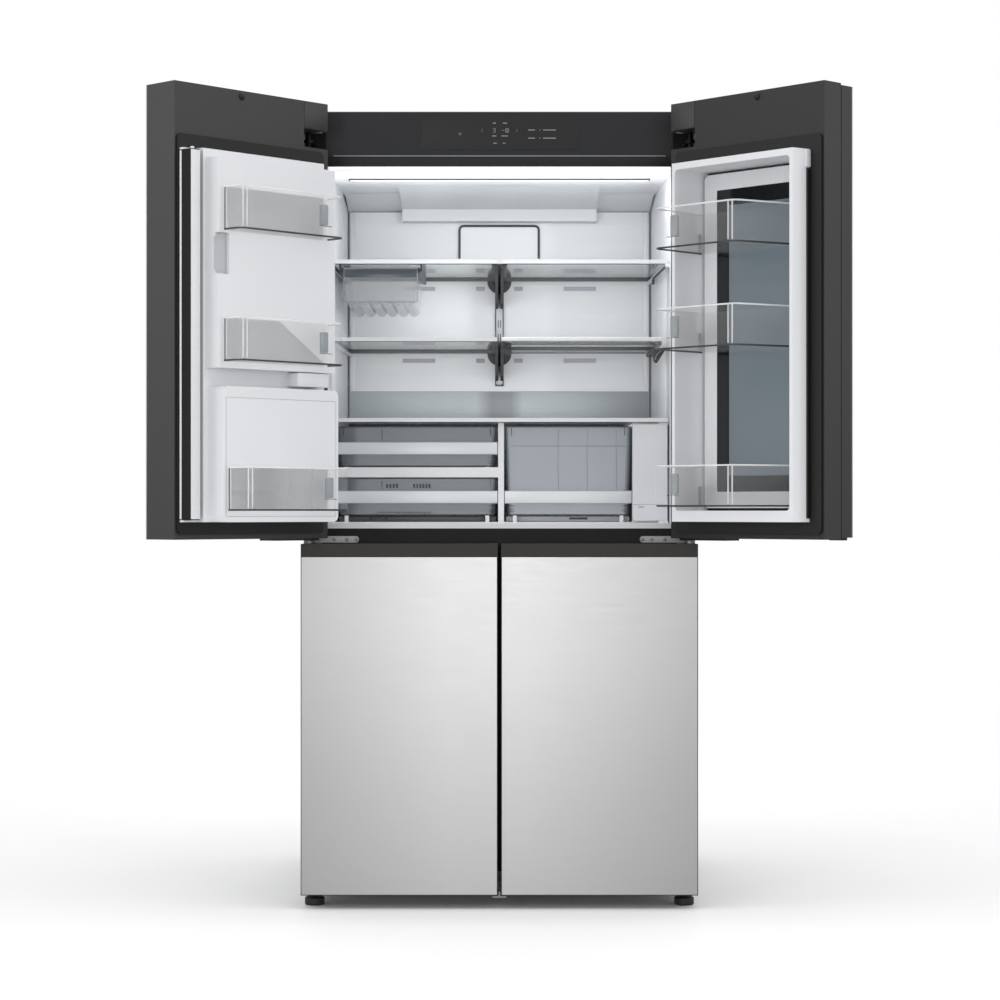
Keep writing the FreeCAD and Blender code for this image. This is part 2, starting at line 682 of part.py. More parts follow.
def make_liners():
    outer = cavity((CASE_FRONT, LINER_BACK), (FLOOR - LINER, CEILING + LINER), LINER)
    hollow = cavity((CASE_FRONT - LINER, CAVITY_BACK), (FLOOR, CEILING), 0)
    upright = [e for e in hollow.Edges if e.BoundBox.ZLength > LINER_CORNER]
    rear_edges = [e for e in upright if e.BoundBox.YMin > SHELF_BACK]
    liner = outer.cut(hollow.makeFillet(LINER_CORNER, rear_edges))
    lip = cavity((CASE_FRONT, CASE_FRONT + RAIL_DEPTH), (FLOOR - LIP_HEIGHT, FLOOR - LINER), LINER)
    left_lower = ledge(LOWER_SHELF_TOP, SHELF_FRONT)
    upper = ledge(UPPER_SHELF_TOP, SHELF_FRONT)
    cover = ledge(COVER_TOP, SHELF_FRONT + TRIM_DEPTH)
    save("fridge_liner", join(liner, lip, left_lower, upper, mirrored(upper), cover, mirrored(cover)))

    middle = -FREEZER_DIVIDER / 2
    shell = left_of(middle + LINER, (CASE_FRONT, FREEZER_BACK + LINER),
                    (FREEZER_FLOOR - LINER, FREEZER_CEILING + LINER), LINER)
    room = left_of(middle, (CASE_FRONT - LINER, FREEZER_BACK), (FREEZER_FLOOR, FREEZER_CEILING), 0)
    freezer = shell.cut(room)
    save("freezer_liners", pair(freezer))


def evaporator_fan_place(y):
    """A point on the evaporator fan's axis at a depth."""
    left, right = evaporator_sides()
    bottom = MACHINE_TOP + EVAPORATOR_RISE
    return ((left + right) / 2, y, bottom + EVAPORATOR_HEIGHT + FAN_RADIUS + FAN_GAP)


def evaporator_sides():
    """The left and right ends of the evaporator, in the left freezer room."""
    left = -half_at(FREEZER_BACK) + EVAPORATOR_WALL_GAP
    return left, -FREEZER_DIVIDER / 2 - EVAPORATOR_DIVIDER_GAP


def make_front_trim():
    top = CASE_INSIDE_TOP
    panel = cavity((CASE_FRONT, CASE_FRONT + FASCIA_DEPTH), (CEILING + LINER, top), LINER)
    groove_top = CASE_TOP - LIGHT_GROOVE_DROP
    groove = block((-OPENING_EDGE, OPENING_EDGE), (CASE_FRONT - LINER, CASE_FRONT + LINER),
                   (groove_top - LIGHT_GROOVE, groove_top))
    save("control_panel", panel.cut(groove))

    rail_y = (CASE_FRONT, CASE_FRONT + RAIL_DEPTH)
    beam = cavity(rail_y, (FREEZER_CEILING + LINER, FLOOR - LIP_HEIGHT), LINER)
    post_half = FREEZER_DIVIDER / 2 - LINER
    post = block((-post_half, post_half), rail_y, (FREEZER_FLOOR - LINER, FREEZER_CEILING + LINER))
    save("mid_rail", join(beam, post))


def make_ceiling_and_back():
    lamp_half = INNER_BACK - LAMP_INSET
    lamp_front = CASE_FRONT + LAMP_SET_BACK
    lamp = round_plan((-lamp_half, lamp_half), (lamp_front, lamp_front + LAMP_DEPTH),
                      (CEILING - LAMP_DROP, CEILING), LAMP_DEPTH / 2 - SLIDE_CLEAR)
    save("ceiling_lamp", lamp)

    lip_front = BACK_PANEL_FRONT - DUCT_LIP_DEPTH
    lip_bottom = CEILING - DUCT_LIP_DROP
    duct = side_view([(BACK_PANEL_FRONT - DUCT_LENGTH, CEILING), (lip_front, CEILING - DUCT_SLOPE),
                      (lip_front, lip_bottom), (BACK_PANEL_FRONT, lip_bottom),
                      (BACK_PANEL_FRONT, CEILING)],
                     (-DUCT_HALF, DUCT_HALF))
    save("ceiling_duct", duct)

    half = half_at(CAVITY_BACK) - LINER_CORNER
    top = CEILING - PANEL_TOP_DROP
    tray = block((-half, half), (BACK_PANEL_FRONT, CAVITY_BACK), (FLOOR, top))
    inside = block((-half + BACK_PANEL_WALL, half - BACK_PANEL_WALL),
                   (BACK_PANEL_FRONT + BACK_PANEL_WALL, CAVITY_BACK),
                   (FLOOR + BACK_PANEL_WALL, top - BACK_PANEL_WALL))
    panel = tray.cut(inside)
    for shelf_top in (UPPER_SHELF_TOP, LOWER_SHELF_TOP):
        middle = shelf_top - VENT_DROP
        for span in VENT_SPANS:
            vent = block(span, (BACK_PANEL_FRONT - LINER, BACK_PANEL_FRONT + 2 * BACK_PANEL_WALL),
                         (middle - VENT_HEIGHT / 2, middle + VENT_HEIGHT / 2))
            panel = panel.cut(vent).cut(mirrored(vent))
    cover = round_front((-COVER_PLATE_HALF, COVER_PLATE_HALF),
                        (BACK_PANEL_FRONT - COVER_PLATE_THICK, BACK_PANEL_FRONT),
                        (UPPER_SHELF_TOP + COVER_PLATE_RISE, CEILING - COVER_PLATE_DROP),
                        COVER_PLATE_ROUND)
    panel_y = (FREEZER_PANEL_BACK - FREEZER_PANEL, FREEZER_PANEL_BACK)
    freezer_panel = left_of(-FREEZER_DIVIDER / 2, panel_y, (FREEZER_FLOOR, FREEZER_CEILING), 0)
    fan_hole = rod(FAN_RADIUS, evaporator_fan_place(panel_y[0] - LINER), (0, 1, 0),
                   2 * FREEZER_PANEL_GAP)
    save("back_panels", group(panel, cover, freezer_panel.cut(fan_hole), mirrored(freezer_panel)))


def shelf_trim(shape_of, top):
    """The front and rear bars of one shelf, from a function that makes a prism between two depths."""
    front = shape_of((SHELF_FRONT, SHELF_FRONT + TRIM_DEPTH), (top - TRIM_HEIGHT, top))
    rear = shape_of((SHELF_BACK - REAR_TRIM, SHELF_BACK), (top - TRIM_HEIGHT, top))
    return [front, rear]


def slide_places():
    """The inner edges of the sliding shelf's two runners, and the shelf's outer edge."""
    outer = half_at(SHELF_BACK) - SHELF_CLEAR
    return SHELF_MIDDLE + SLIDING_RUNNER, outer - SLIDING_RUNNER, outer


def make_shelves():
    def left(y, z):
        return left_of(-SHELF_MIDDLE, y, z, -SHELF_CLEAR)

    def right(y, z):
        return right_of(SHELF_MIDDLE, y, z, -SHELF_CLEAR)

    def across(y, z):
        return cavity(y, z, -SHELF_CLEAR)

    pane_y = (SHELF_FRONT + TRIM_DEPTH, SHELF_BACK - REAR_TRIM)
    panes = []
    trims = []
    for shape_of, top in ((left, UPPER_SHELF_TOP), (right, UPPER_SHELF_TOP), (left, LOWER_SHELF_TOP),
                          (across, COVER_TOP)):
        panes.append(shape_of(pane_y, (top - GLASS, top)))
        trims += shelf_trim(shape_of, top)

    runner_in, runner_out, outer = slide_places()
    fixed_top = LOWER_SHELF_TOP - GLASS - SLIDE_CLEAR
    fixed_front = SHELF_FRONT + SLIDING_DEPTH
    rear_y = (fixed_front, SHELF_BACK - REAR_TRIM)
    panes.append(block((runner_in + SLIDE_CLEAR, runner_out - SLIDE_CLEAR), rear_y,
                       (fixed_top - GLASS, fixed_top)))
    trims.append(block((runner_in + SLIDE_CLEAR, runner_out - SLIDE_CLEAR), (rear_y[1], SHELF_BACK),
                       (LOWER_SHELF_TOP - TRIM_HEIGHT, fixed_top)))
    trims.append(block((BRACKET_WIDTH / 2, runner_out), (fixed_front, fixed_front + REAR_TRIM),
                       (LOWER_SHELF_TOP - TRIM_HEIGHT - 2 * GLASS, fixed_top - GLASS)))
    save("shelf_glass", group(*panes))
    save("shelf_trims", group(*trims))

    pane = block((SHELF_MIDDLE, outer), (SHELF_FRONT + TRIM_DEPTH, fixed_front),
                 (LOWER_SHELF_TOP - GLASS, LOWER_SHELF_TOP))
    bar = block((SHELF_MIDDLE, outer), (SHELF_FRONT, SHELF_FRONT + TRIM_DEPTH),
                (LOWER_SHELF_TOP - TRIM_HEIGHT, LOWER_SHELF_TOP))
    runners = [block(x, (SHELF_FRONT, fixed_front),
                     (LOWER_SHELF_TOP - TRIM_HEIGHT + SLIDE_CLEAR, LOWER_SHELF_TOP - GLASS))
               for x in ((SHELF_MIDDLE, runner_in), (runner_out, outer))]
    save("sliding_shelf", join(pane, bar, *runners))


def make_shelf_brackets():
    half = BRACKET_WIDTH / 2
    arm_x = (BRACKET_ARM_GAP / 2, BRACKET_ARM_GAP / 2 + BRACKET_ARM)
    rail_front = BACK_PANEL_FRONT - RAIL_THICK
    start = SHELF_FRONT + TRIM_DEPTH / 2
    rail = block((-RAIL_WIDTH / 2, RAIL_WIDTH / 2), (rail_front, BACK_PANEL_FRONT),
                 (LOWER_SHELF_TOP - RAIL_DROP, UPPER_SHELF_TOP - TRIM_HEIGHT))
    solids = []
    for top in (UPPER_SHELF_TOP - TRIM_HEIGHT, LOWER_SHELF_TOP - TRIM_HEIGHT):
        under = top - GLASS
        arm = side_view([(start, under), (rail_front, under), (rail_front, top - BRACKET_DROP),
                         (rail_front - BRACKET_WIDTH, top - BRACKET_DROP + BRACKET_WIDTH / 3),
                         (start, top - TRIM_HEIGHT)], arm_x)
        plate = block((-half, half), (start, rail_front), (under, top))
        hub = rod(HUB_RADIUS, (0, rail_front, top), (0, 1, 0), RAIL_THICK)
        rail = rail.cut(hub)
        solids += [arm, mirrored(arm), plate, hub]
    solids += rail.Solids
    _, runner_out, outer = slide_places()
    slide_top = LOWER_SHELF_TOP - TRIM_HEIGHT
    slide_z = (slide_top - 2 * GLASS, slide_top)
    solids.append(block((runner_out, outer), (start, BACK_PANEL_FRONT), slide_z))

    shelf_under = UPPER_SHELF_TOP - GLASS
    left, right = utility_sides()
    rail_y = (SHELF_FRONT + TRIM_DEPTH, UTILITY_FRONT + UTILITY_DEPTH)
    flange_top = utility_top() - UTILITY_RAIL - SLIDE_CLEAR
    for edge, outward in ((left, -1), (right, 1)):
        near = edge + outward * SLIDE_CLEAR
        web_near = edge + outward * (UTILITY_FLANGE + SLIDE_CLEAR)
        web_far = web_near + outward * UTILITY_RAIL
        web = block((min(web_near, web_far), max(web_near, web_far)), rail_y,
                    (flange_top - UTILITY_RAIL, shelf_under))
        shelf = block((min(near, web_far), max(near, web_far)), rail_y,
                      (flange_top - UTILITY_RAIL, flange_top))
        solids.append(join(web, shelf))
    save("shelf_brackets", group(*solids))


def utility_sides():
    """The left and right sides of the utility drawer, beside the left wall."""
    left = -half_at(UTILITY_FRONT + UTILITY_DEPTH) + UTILITY_WALL_GAP
    return left, left + UTILITY_WIDTH


def utility_top():
    """The top edge of the utility drawer, under the upper shelf."""
    return UPPER_SHELF_TOP - TRIM_HEIGHT - TRIM_HEIGHT


def make_utility_drawer():
    """A drawer whose floor is a row of shallow troughs running front to back."""
    left, right = utility_sides()
    top = utility_top()
    low = top - UTILITY_HEIGHT
    wall = CRISPER_WALL

    def section(inset, y):
        left_foot, right_foot = left + UTILITY_DRAFT + inset, right - UTILITY_DRAFT - inset
        foot = low + inset
        step = (right_foot - left_foot) / UTILITY_WAVES
        edges = [Part.makeLine(Vector(left + inset, y, top), Vector(left_foot, y, foot))]
        for number in range(UTILITY_WAVES):
            start = left_foot + step * number
            edges.append(Part.Arc(Vector(start, y, foot), Vector(start + step / 2, y, foot - WAVE_DROP),
                                  Vector(start + step, y, foot)).toShape())
        edges.append(Part.makeLine(Vector(right_foot, y, foot), Vector(right - inset, y, top)))
        edges.append(Part.makeLine(Vector(right - inset, y, top), Vector(left + inset, y, top)))
        return Part.Face(Part.Wire(edges))

    outer = section(0, UTILITY_FRONT).extrude(Vector(0, UTILITY_DEPTH, 0))
    hollow = section(wall, UTILITY_FRONT + wall).extrude(Vector(0, UTILITY_DEPTH - 2 * wall, 0))
    flange_z = (top - UTILITY_RAIL, top)
    flange_y = (UTILITY_FRONT + wall, UTILITY_FRONT + UTILITY_DEPTH)
    left_flange = block((left - UTILITY_FLANGE, left + wall), flange_y, flange_z)
    right_flange = block((right - wall, right + UTILITY_FLANGE), flange_y, flange_z)
    save("utility_drawer", join(outer, left_flange, right_flange).cut(hollow))


def filter_wall():
    """The left face of the wall between the right crisper and the water filter."""
    return half_at(CRISPER_FRONT) - FILTER_BAY


def filter_pivot():
    """Where the filter cover turns, beside the right wall."""
    return (half_at(CRISPER_FRONT) - 2 * FILTER_COVER_GAP, FILTER_COVER_FRONT + FILTER_COVER_THICK / 2)


def crisper(x, z, bar_bottom):
    """A see-through drawer with a bar across its front."""
    body = tub(x, (CRISPER_FRONT + BAR_THICK, CRISPER_BACK), z, CRISPER_WALL, CRISPER_TAPER,
               CRISPER_ROUND)
    bar = round_front(x, (CRISPER_FRONT, CRISPER_FRONT + BAR_THICK),
                      (bar_bottom, bar_bottom + BAR_HEIGHT),
                      BAR_THICK / 2)
    return join(body, bar)


def make_crispers():
    left_edge = -half_at(CRISPER_BACK) + CRISPER_SIDE_GAP
    left_x = (left_edge, POST_LEFT - CRISPER_SIDE_GAP)
    wall_x = filter_wall()
    right_x = (POST_RIGHT + CRISPER_SIDE_GAP, wall_x - CRISPER_SIDE_GAP)
    low = FLOOR + LOWER_CRISPER_RISE
    high = MIDDLE_SHELF_TOP + UPPER_CRISPER_RISE
    save("lower_crisper", crisper(left_x, (low, low + LOWER_CRISPER_HEIGHT), low + BAR_RISE))
    save("upper_crisper", crisper(left_x, (high, high + UPPER_CRISPER_HEIGHT), high + BAR_RISE))
    save("right_crisper", crisper(right_x, (low, low + RIGHT_CRISPER_HEIGHT), low + BAR_RISE))

    depth = (CRISPER_FRONT, SHELF_BACK - REAR_TRIM)
    under = COVER_UNDER
    cap_top = COVER_TOP - TRIM_HEIGHT
    pieces = [
        block((POST_LEFT, POST_RIGHT), depth, (FLOOR, under)),
        left_of(POST_LEFT, depth, (MIDDLE_SHELF_TOP - FRAME_SHEET, MIDDLE_SHELF_TOP), -SHELF_CLEAR / 2),
        block((wall_x, wall_x + FRAME_SHEET), depth, (FLOOR, under)),
        block((POST_LEFT, wall_x), depth, (FLOOR, FLOOR + FRAME_SHEET / 2)),
        left_of(POST_LEFT, depth, (FLOOR, FLOOR + FRAME_SHEET / 2), -SHELF_CLEAR / 2),
    ]
    pieces.append(left_of(POST_LEFT, (CRISPER_FRONT, CRISPER_FRONT + FRAME_SHEET),
                          (low + LOWER_CRISPER_HEIGHT + BAND_CLEAR, high - BAND_CLEAR),
                          -SHELF_CLEAR / 2))
    for x, start, end in ((left_x, FLOOR, low), (left_x, MIDDLE_SHELF_TOP, high),
                          (right_x, FLOOR, low)):
        for middle in (x[0] + RUNNER_INSET, x[1] - RUNNER_INSET):
            pieces.append(block((middle - RUNNER / 2, middle + RUNNER / 2),
                                (CRISPER_FRONT, CRISPER_BACK),
                                (start, end - SLIDE_CLEAR)))
    cap = right_of(wall_x, depth, (cap_top - FRAME_SHEET, cap_top), -LEDGE_WIDTH)
    foot = right_of(wall_x, depth, (FLOOR, FLOOR + FRAME_SHEET), -SHELF_CLEAR / 2)
    pivot_x, pivot_y = filter_pivot()
    ear_x = (pivot_x - FILTER_EAR - LEDGE_WIDTH, pivot_x + FILTER_COVER_GAP)
    ear_y = (FILTER_COVER_FRONT, CRISPER_FRONT)
    pieces += [cap, foot, block(ear_x, ear_y, (cap_top - FRAME_SHEET, cap_top)),
               block(ear_x, ear_y, (FLOOR, FLOOR + FRAME_SHEET))]
    frame = join(*pieces)
    hole = rod(FILTER_COVER_PIN + PIN_CLEAR, (pivot_x, pivot_y, FLOOR), (0, 0, 1), FRAME_SHEET)
    upper_hole = rod(FILTER_COVER_PIN + PIN_CLEAR, (pivot_x, pivot_y, cap_top - FRAME_SHEET), (0, 0, 1),
                     FRAME_SHEET)
    save("crisper_frame", frame.cut(hole).cut(upper_hole))

    cover_z = (FLOOR + FRAME_SHEET + SLIDE_CLEAR, cap_top - FRAME_SHEET - SLIDE_CLEAR)
    plate = block((wall_x, pivot_x), (FILTER_COVER_FRONT, FILTER_COVER_FRONT + FILTER_COVER_THICK),
                  cover_z)
    barrel = rod(FILTER_COVER_THICK / 2, (pivot_x, pivot_y, cover_z[0]), (0, 0, 1),
                 cover_z[1] - cover_z[0])
    pin_length = FRAME_SHEET + SLIDE_CLEAR - 2 * SLIDE_CLEAR
    pins = [rod(FILTER_COVER_PIN, (pivot_x, pivot_y, cover_z[0] - pin_length), (0, 0, 1), pin_length),
            rod(FILTER_COVER_PIN, (pivot_x, pivot_y, cover_z[1]), (0, 0, 1), pin_length)]
    save("filter_cover", join(plate, barrel, *pins))

    middle_x = (wall_x + FRAME_SHEET + half_at(SHELF_BACK)) / 2
    middle_z = FLOOR + FRAME_SHEET + 2 * FILTER_RADIUS
    head_y = BACK_PANEL_FRONT - FILTER_HEAD_LENGTH
    head = rod(FILTER_HEAD_RADIUS, (middle_x, head_y, middle_z), (0, 1, 0), FILTER_HEAD_LENGTH)
    cartridge = rod(FILTER_RADIUS, (middle_x, head_y - FILTER_LENGTH, middle_z), (0, 1, 0),
                    FILTER_LENGTH)
    flat = [e for e in cartridge.Edges if e.BoundBox.YLength < 1]
    ends = [e for e in flat if e.BoundBox.YMax < head_y - FILTER_LENGTH / 2]
    save("water_filter", join(cartridge.makeFillet(FILTER_RADIUS / 4, ends), head))


def make_freezer_drawers():
    pitch = FREEZER_HEIGHT / DRAWER_ROWS
    y = (DRAWER_FRONT, FREEZER_PANEL_BACK - FREEZER_PANEL - DRAWER_BACK_GAP)
    x = (-half_at(y[1]) + DRAWER_SIDE_GAP, -FREEZER_DIVIDER / 2 - DRAWER_SIDE_GAP)
    solids = []
    for row in range(DRAWER_ROWS):
        bottom = FREEZER_FLOOR + pitch * row
        if row:
            solids.append(left_of(-FREEZER_DIVIDER / 2,
                                  (DRAWER_FRONT, FREEZER_PANEL_BACK - FREEZER_PANEL),
                                  (bottom - DRAWER_SHELF, bottom), 0))
        body = tub(x, (y[0] + DRAWER_HANDLE, y[1]),
                   (bottom, bottom + pitch - DRAWER_TOP_GAP - DRAWER_SHELF),
                   CRISPER_WALL, CRISPER_TAPER, CRISPER_ROUND)
        handle = round_front(x, (y[0], y[0] + DRAWER_HANDLE),
                             (bottom + pitch / 2, bottom + pitch / 2 + BAR_HEIGHT),
                             DRAWER_HANDLE / 3)
        solids.append(join(body, handle))
    save("freezer_drawers", group(*solids, *[mirrored(s) for s in solids]))


def finned_coil(x, y, z):
    """Upright fins on level tubes between two end plates."""
    step = (x[1] - x[0] - FIN) / (FIN_COUNT - 1)
    pieces = [block((x[0] + step * n, x[0] + step * n + FIN), y, z) for n in range(FIN_COUNT)]
    middle = (y[0] + y[1]) / 2
    for share in (1, 3, 5):
        height = z[0] + (z[1] - z[0]) * share / 6
        pieces.append(rod(TUBE_RADIUS, (x[0], middle, height), (1, 0, 0), x[1] - x[0]))
    return join(*pieces)


def fan(centre, front_y):
    """A hub with pitched blades that turns about a shaft along Y."""
    x, z = centre
    hub = rod(FAN_HUB, (x, front_y, z), (0, 1, 0), FAN_DEPTH)
    blade_thick = FAN_SHAFT / 2
    blades = []
    for number in range(FAN_BLADES):
        blade = block((-FAN_HUB * 0.8, FAN_HUB * 0.8), (-blade_thick / 2, blade_thick / 2),
                      (FAN_HUB * 0.8, FAN_RADIUS - 2 * PIN_CLEAR - FAN_GAP / 5))
        blade.rotate(Vector(0, 0, 0), Vector(0, 0, 1), 35)
        blade.rotate(Vector(0, 0, 0), Vector(0, 1, 0), 360 / FAN_BLADES * number)
        blades.append(blade.translated(Vector(x, front_y + FAN_DEPTH / 2, z)))
    hole = rod(FAN_SHAFT + PIN_CLEAR, (x, front_y, z), (0, 1, 0), FAN_DEPTH)
    return join(hub, *blades).cut(hole)


def make_machinery():
    x, y = COMPRESSOR_X, DEPTH - COMPRESSOR_FROM_BACK
    can = Part.makeCylinder(COMPRESSOR_RADIUS, COMPRESSOR_HEIGHT, Vector(x, y, BASE_TOP + BAR_THICK))
    can = can.makeFillet(COMPRESSOR_RADIUS / 3, [e for e in can.Edges if e.BoundBox.ZLength < 1])
    feet = round_plan((x - COMPRESSOR_RADIUS, x + COMPRESSOR_RADIUS),
                      (y - COMPRESSOR_RADIUS, y + COMPRESSOR_RADIUS),
                      (BASE_TOP, BASE_TOP + BAR_THICK + GLASS), COMPRESSOR_RADIUS / 3)
    stub = rod(TUBE_RADIUS, (x + COMPRESSOR_RADIUS / 2, y, BASE_TOP + COMPRESSOR_HEIGHT / 2), (1, 0, 0),
               COMPRESSOR_RADIUS)
    save("compressor", join(can, feet, stub))

    coil_y = (DEPTH - COMPRESSOR_FROM_BACK - CONDENSER_DEPTH / 2,
              DEPTH - COMPRESSOR_FROM_BACK + CONDENSER_DEPTH / 2)
    coil = finned_coil((CONDENSER_LEFT, CONDENSER_LEFT + CONDENSER_WIDTH), coil_y,
                       (BASE_TOP, BASE_TOP + CONDENSER_HEIGHT))
    fan_x = CONDENSER_LEFT + CONDENSER_WIDTH + FAN_RADIUS + FAN_GAP
    fan_z = BASE_TOP + FAN_RADIUS + FAN_GAP
    fan_y = DEPTH - COMPRESSOR_FROM_BACK
    motor_y = fan_y + FAN_DEPTH + SLIDE_CLEAR
    motor = rod(MOTOR_RADIUS, (fan_x, motor_y, fan_z), (0, 1, 0), MOTOR_LENGTH)
    shaft = rod(FAN_SHAFT, (fan_x, fan_y, fan_z), (0, 1, 0), FAN_DEPTH + MOTOR_LENGTH)
    stand = block((fan_x - MOTOR_RADIUS / 2, fan_x + MOTOR_RADIUS / 2),
                  (motor_y, motor_y + MOTOR_LENGTH / 2),
                  (BASE_TOP, fan_z))
    save("condenser", group(coil, join(motor, shaft, stand)))
    save("condenser_fan", fan((fan_x, fan_z), fan_y))

    cold_bottom = MACHINE_TOP + EVAPORATOR_RISE
    cold_coil = finned_coil(evaporator_sides(), (FREEZER_PANEL_BACK, FREEZER_BACK),
                            (cold_bottom, cold_bottom + EVAPORATOR_HEIGHT))
    place_x, fan_start, place_z = evaporator_fan_place(FREEZER_PANEL_BACK + SLIDE_CLEAR)
    back_motor = rod(MOTOR_RADIUS, (place_x, fan_start + FAN_DEPTH + SLIDE_CLEAR, place_z), (0, 1, 0),
                     FREEZER_BACK - fan_start - FAN_DEPTH - SLIDE_CLEAR)
    back_shaft = rod(FAN_SHAFT, (place_x, fan_start, place_z), (0, 1, 0), FREEZER_BACK - fan_start)
    save("evaporator", group(cold_coil, join(back_motor, back_shaft)))
    save("evaporator_fan", fan((place_x, place_z), fan_start))


def make_hinges_and_feet():
    pivot = (-PIVOT_X, PIVOT_FROM_FRONT)
    half = HINGE_ARM / 2

    def arm(z):
        straight = block((pivot[0] - half, pivot[0] + half), (pivot[1], CASE_FRONT), z)
        end = rod(half, (pivot[0], pivot[1], z[0]), (0, 0, 1), z[1] - z[0])
        return join(straight, end)

    flange_y = (CASE_FRONT - HINGE_FLANGE, CASE_FRONT)
    arm_z = (UPPER_ARM_BOTTOM, UPPER_ARM_BOTTOM + UPPER_ARM_THICK)
    flange_middle = UPPER_ARM_BOTTOM + UPPER_ARM_THICK / 2
    plate = block((pivot[0] - half, pivot[0] - half + UPPER_FLANGE_WIDTH), flange_y,
                  (flange_middle - UPPER_FLANGE_HEIGHT / 2, flange_middle + UPPER_FLANGE_HEIGHT / 2))
    pin = rod(UPPER_PIN, (pivot[0], pivot[1], NOTCH_BOTTOM + LINER), (0, 0, 1),
              NOTCH_HEIGHT - LINER + UPPER_PIN_INTO_DOOR)
    upper = join(arm(arm_z), plate, pin)

    arm_z = (MIDDLE_ARM_BOTTOM, MIDDLE_ARM_TOP)
    plate = round_front((pivot[0], pivot[0] + MIDDLE_FLANGE_WIDTH), flange_y,
                        (MIDDLE_ARM_BOTTOM, MIDDLE_ARM_BOTTOM + MIDDLE_FLANGE_HEIGHT),
                        MIDDLE_FLANGE_HEIGHT * MIDDLE_FLANGE_ROUND)
    pin = rod(DOOR_PIN, (pivot[0], pivot[1], LOWER_DOOR_TOP - DOOR_PIN_LENGTH), (0, 0, 1),
              MIDDLE_GAP + 2 * DOOR_PIN_LENGTH)
    middle = join(arm(arm_z), plate, pin)

    plate_z = (BASE_BOTTOM - LOWER_PLATE, BASE_BOTTOM)
    plate = block((pivot[0] - half, pivot[0] - half + LOWER_PLATE_WIDTH),
                  (pivot[1], pivot[1] + LOWER_PLATE_DEPTH), plate_z)
    end = rod(half, (pivot[0], pivot[1], plate_z[0]), (0, 0, 1), LOWER_PLATE)
    pin = rod(DOOR_PIN, (pivot[0], pivot[1], BASE_BOTTOM), (0, 0, 1),
              LOWER_DOOR_BOTTOM - BASE_BOTTOM + DOOR_PIN_LENGTH)
    lower = join(plate, end, pin)
    half = CENTRE_STOP_WIDTH / 2
    stop = block((-half, half), (CENTRE_STOP_FRONT, CASE_FRONT + LOWER_PLATE_DEPTH / 2), plate_z)
    half = LOWER_DOOR_GAP / 2 - CENTRE_STOP_CLEAR
    stem = block((-half, half), (CENTRE_STOP_FRONT, CENTRE_STOP_FRONT + CENTRE_STOP_STEM),
                 (BASE_BOTTOM, BASE_BOTTOM + CENTRE_STOP_RISE))
    brackets = [s for h in (upper, middle, lower) for s in (h, mirrored(h))]
    save("hinge_brackets", group(*brackets, stop, stem))

    foot_x, foot_y = pivot[0] + FOOT_FROM_PIVOT_X, pivot[1] + FOOT_FROM_PIVOT_Y
    drum = rod(FOOT_RADIUS, (foot_x, foot_y, 0), (0, 0, 1), FOOT_HEIGHT)
    rims = [e for e in drum.Edges if e.BoundBox.ZLength < FOOT_ROUND]
    drum = drum.makeFillet(FOOT_ROUND, rims)
    stem = rod(FOOT_STEM, (foot_x, foot_y, FOOT_HEIGHT), (0, 0, 1),
               BASE_BOTTOM - LOWER_PLATE - FOOT_HEIGHT)
    save("front_feet", pair(join(drum, stem)))

    roller_x = HALF - ROLLER_FROM_SIDE
    wheel = rod(ROLLER_RADIUS, (-roller_x - ROLLER_WIDTH / 2, roller_y(), ROLLER_RADIUS), (1, 0, 0),
                ROLLER_WIDTH)
    axle_half = ROLLER_WIDTH / 2 + SLIDE_CLEAR + ROLLER_EAR
    axle = rod(ROLLER_AXLE, (-roller_x - axle_half, roller_y(), ROLLER_RADIUS), (1, 0, 0),
               2 * axle_half)
    save("rear_rollers", pair(join(wheel, axle)))


def door_pin_hole(z):
    """The hole for a hinge pin in a door, between two heights."""
    return rod(DOOR_PIN + PIN_CLEAR, (PIVOT_FROM_SIDE, PIVOT_FROM_FRONT, z[0]), (0, 0, 1), z[1] - z[0])


def upper_hinge_room():
    """What the upper hinge takes out of a door: the notch that its arm swings in and the pin's hole."""
    notch = block((0, NOTCH_WIDTH), (NOTCH_FRONT, DOOR_THICKNESS), (NOTCH_BOTTOM, NOTCH_TOP))
    hole = rod(UPPER_PIN + PIN_CLEAR, (PIVOT_FROM_SIDE, PIVOT_FROM_FRONT, NOTCH_TOP), (0, 0, 1),
               UPPER_PIN_INTO_DOOR + PIN_HOLE_SPARE)
    return notch.fuse(hole)


def stop_plate():
    """The plate under an upper door that turns on the middle hinge's pin."""
    middle = PIVOT_FROM_FRONT
    return block((STOP_PLATE_SIDE, STOP_PLATE_SIDE + STOP_PLATE_WIDTH),
                 (middle - STOP_PLATE_DEPTH / 2, middle + STOP_PLATE_DEPTH / 2),
                 (UPPER_DOOR_BOTTOM - STOP_PLATE_THICK, UPPER_DOOR_BOTTOM))


def upper_gasket():
    """The seal round an upper door's liner."""
    y = (DOOR_THICKNESS, DOOR_THICKNESS + GASKET_THICK)
    outside = round_front((LINER_SIDE - GASKET_WIDTH, LINER_FREE + GASKET_FREE_WIDTH), y,
                          (LINER_BOTTOM - GASKET_BOTTOM_WIDTH, LINER_TOP + GASKET_WIDTH), BASKET_ROUND)
    inside = block((LINER_SIDE, LINER_FREE), y, (LINER_BOTTOM, LINER_TOP))
    return outside.cut(inside)


def dispenser_room():
    """The space in the left door that the dispenser housing fills."""
    x = (DISPENSER_SIDE, DISPENSER_SIDE + DISPENSER_WIDTH)
    top = DISPENSER_BOTTOM + DISPENSER_HEIGHT
    recess = block(x, (0, DISPENSER_DEPTH), (DISPENSER_BOTTOM, top))
    panel = block(x, (0, DISPENSER_PANEL_DEPTH), (top, top + DISPENSER_PANEL_HEIGHT))
    return recess.fuse(panel)


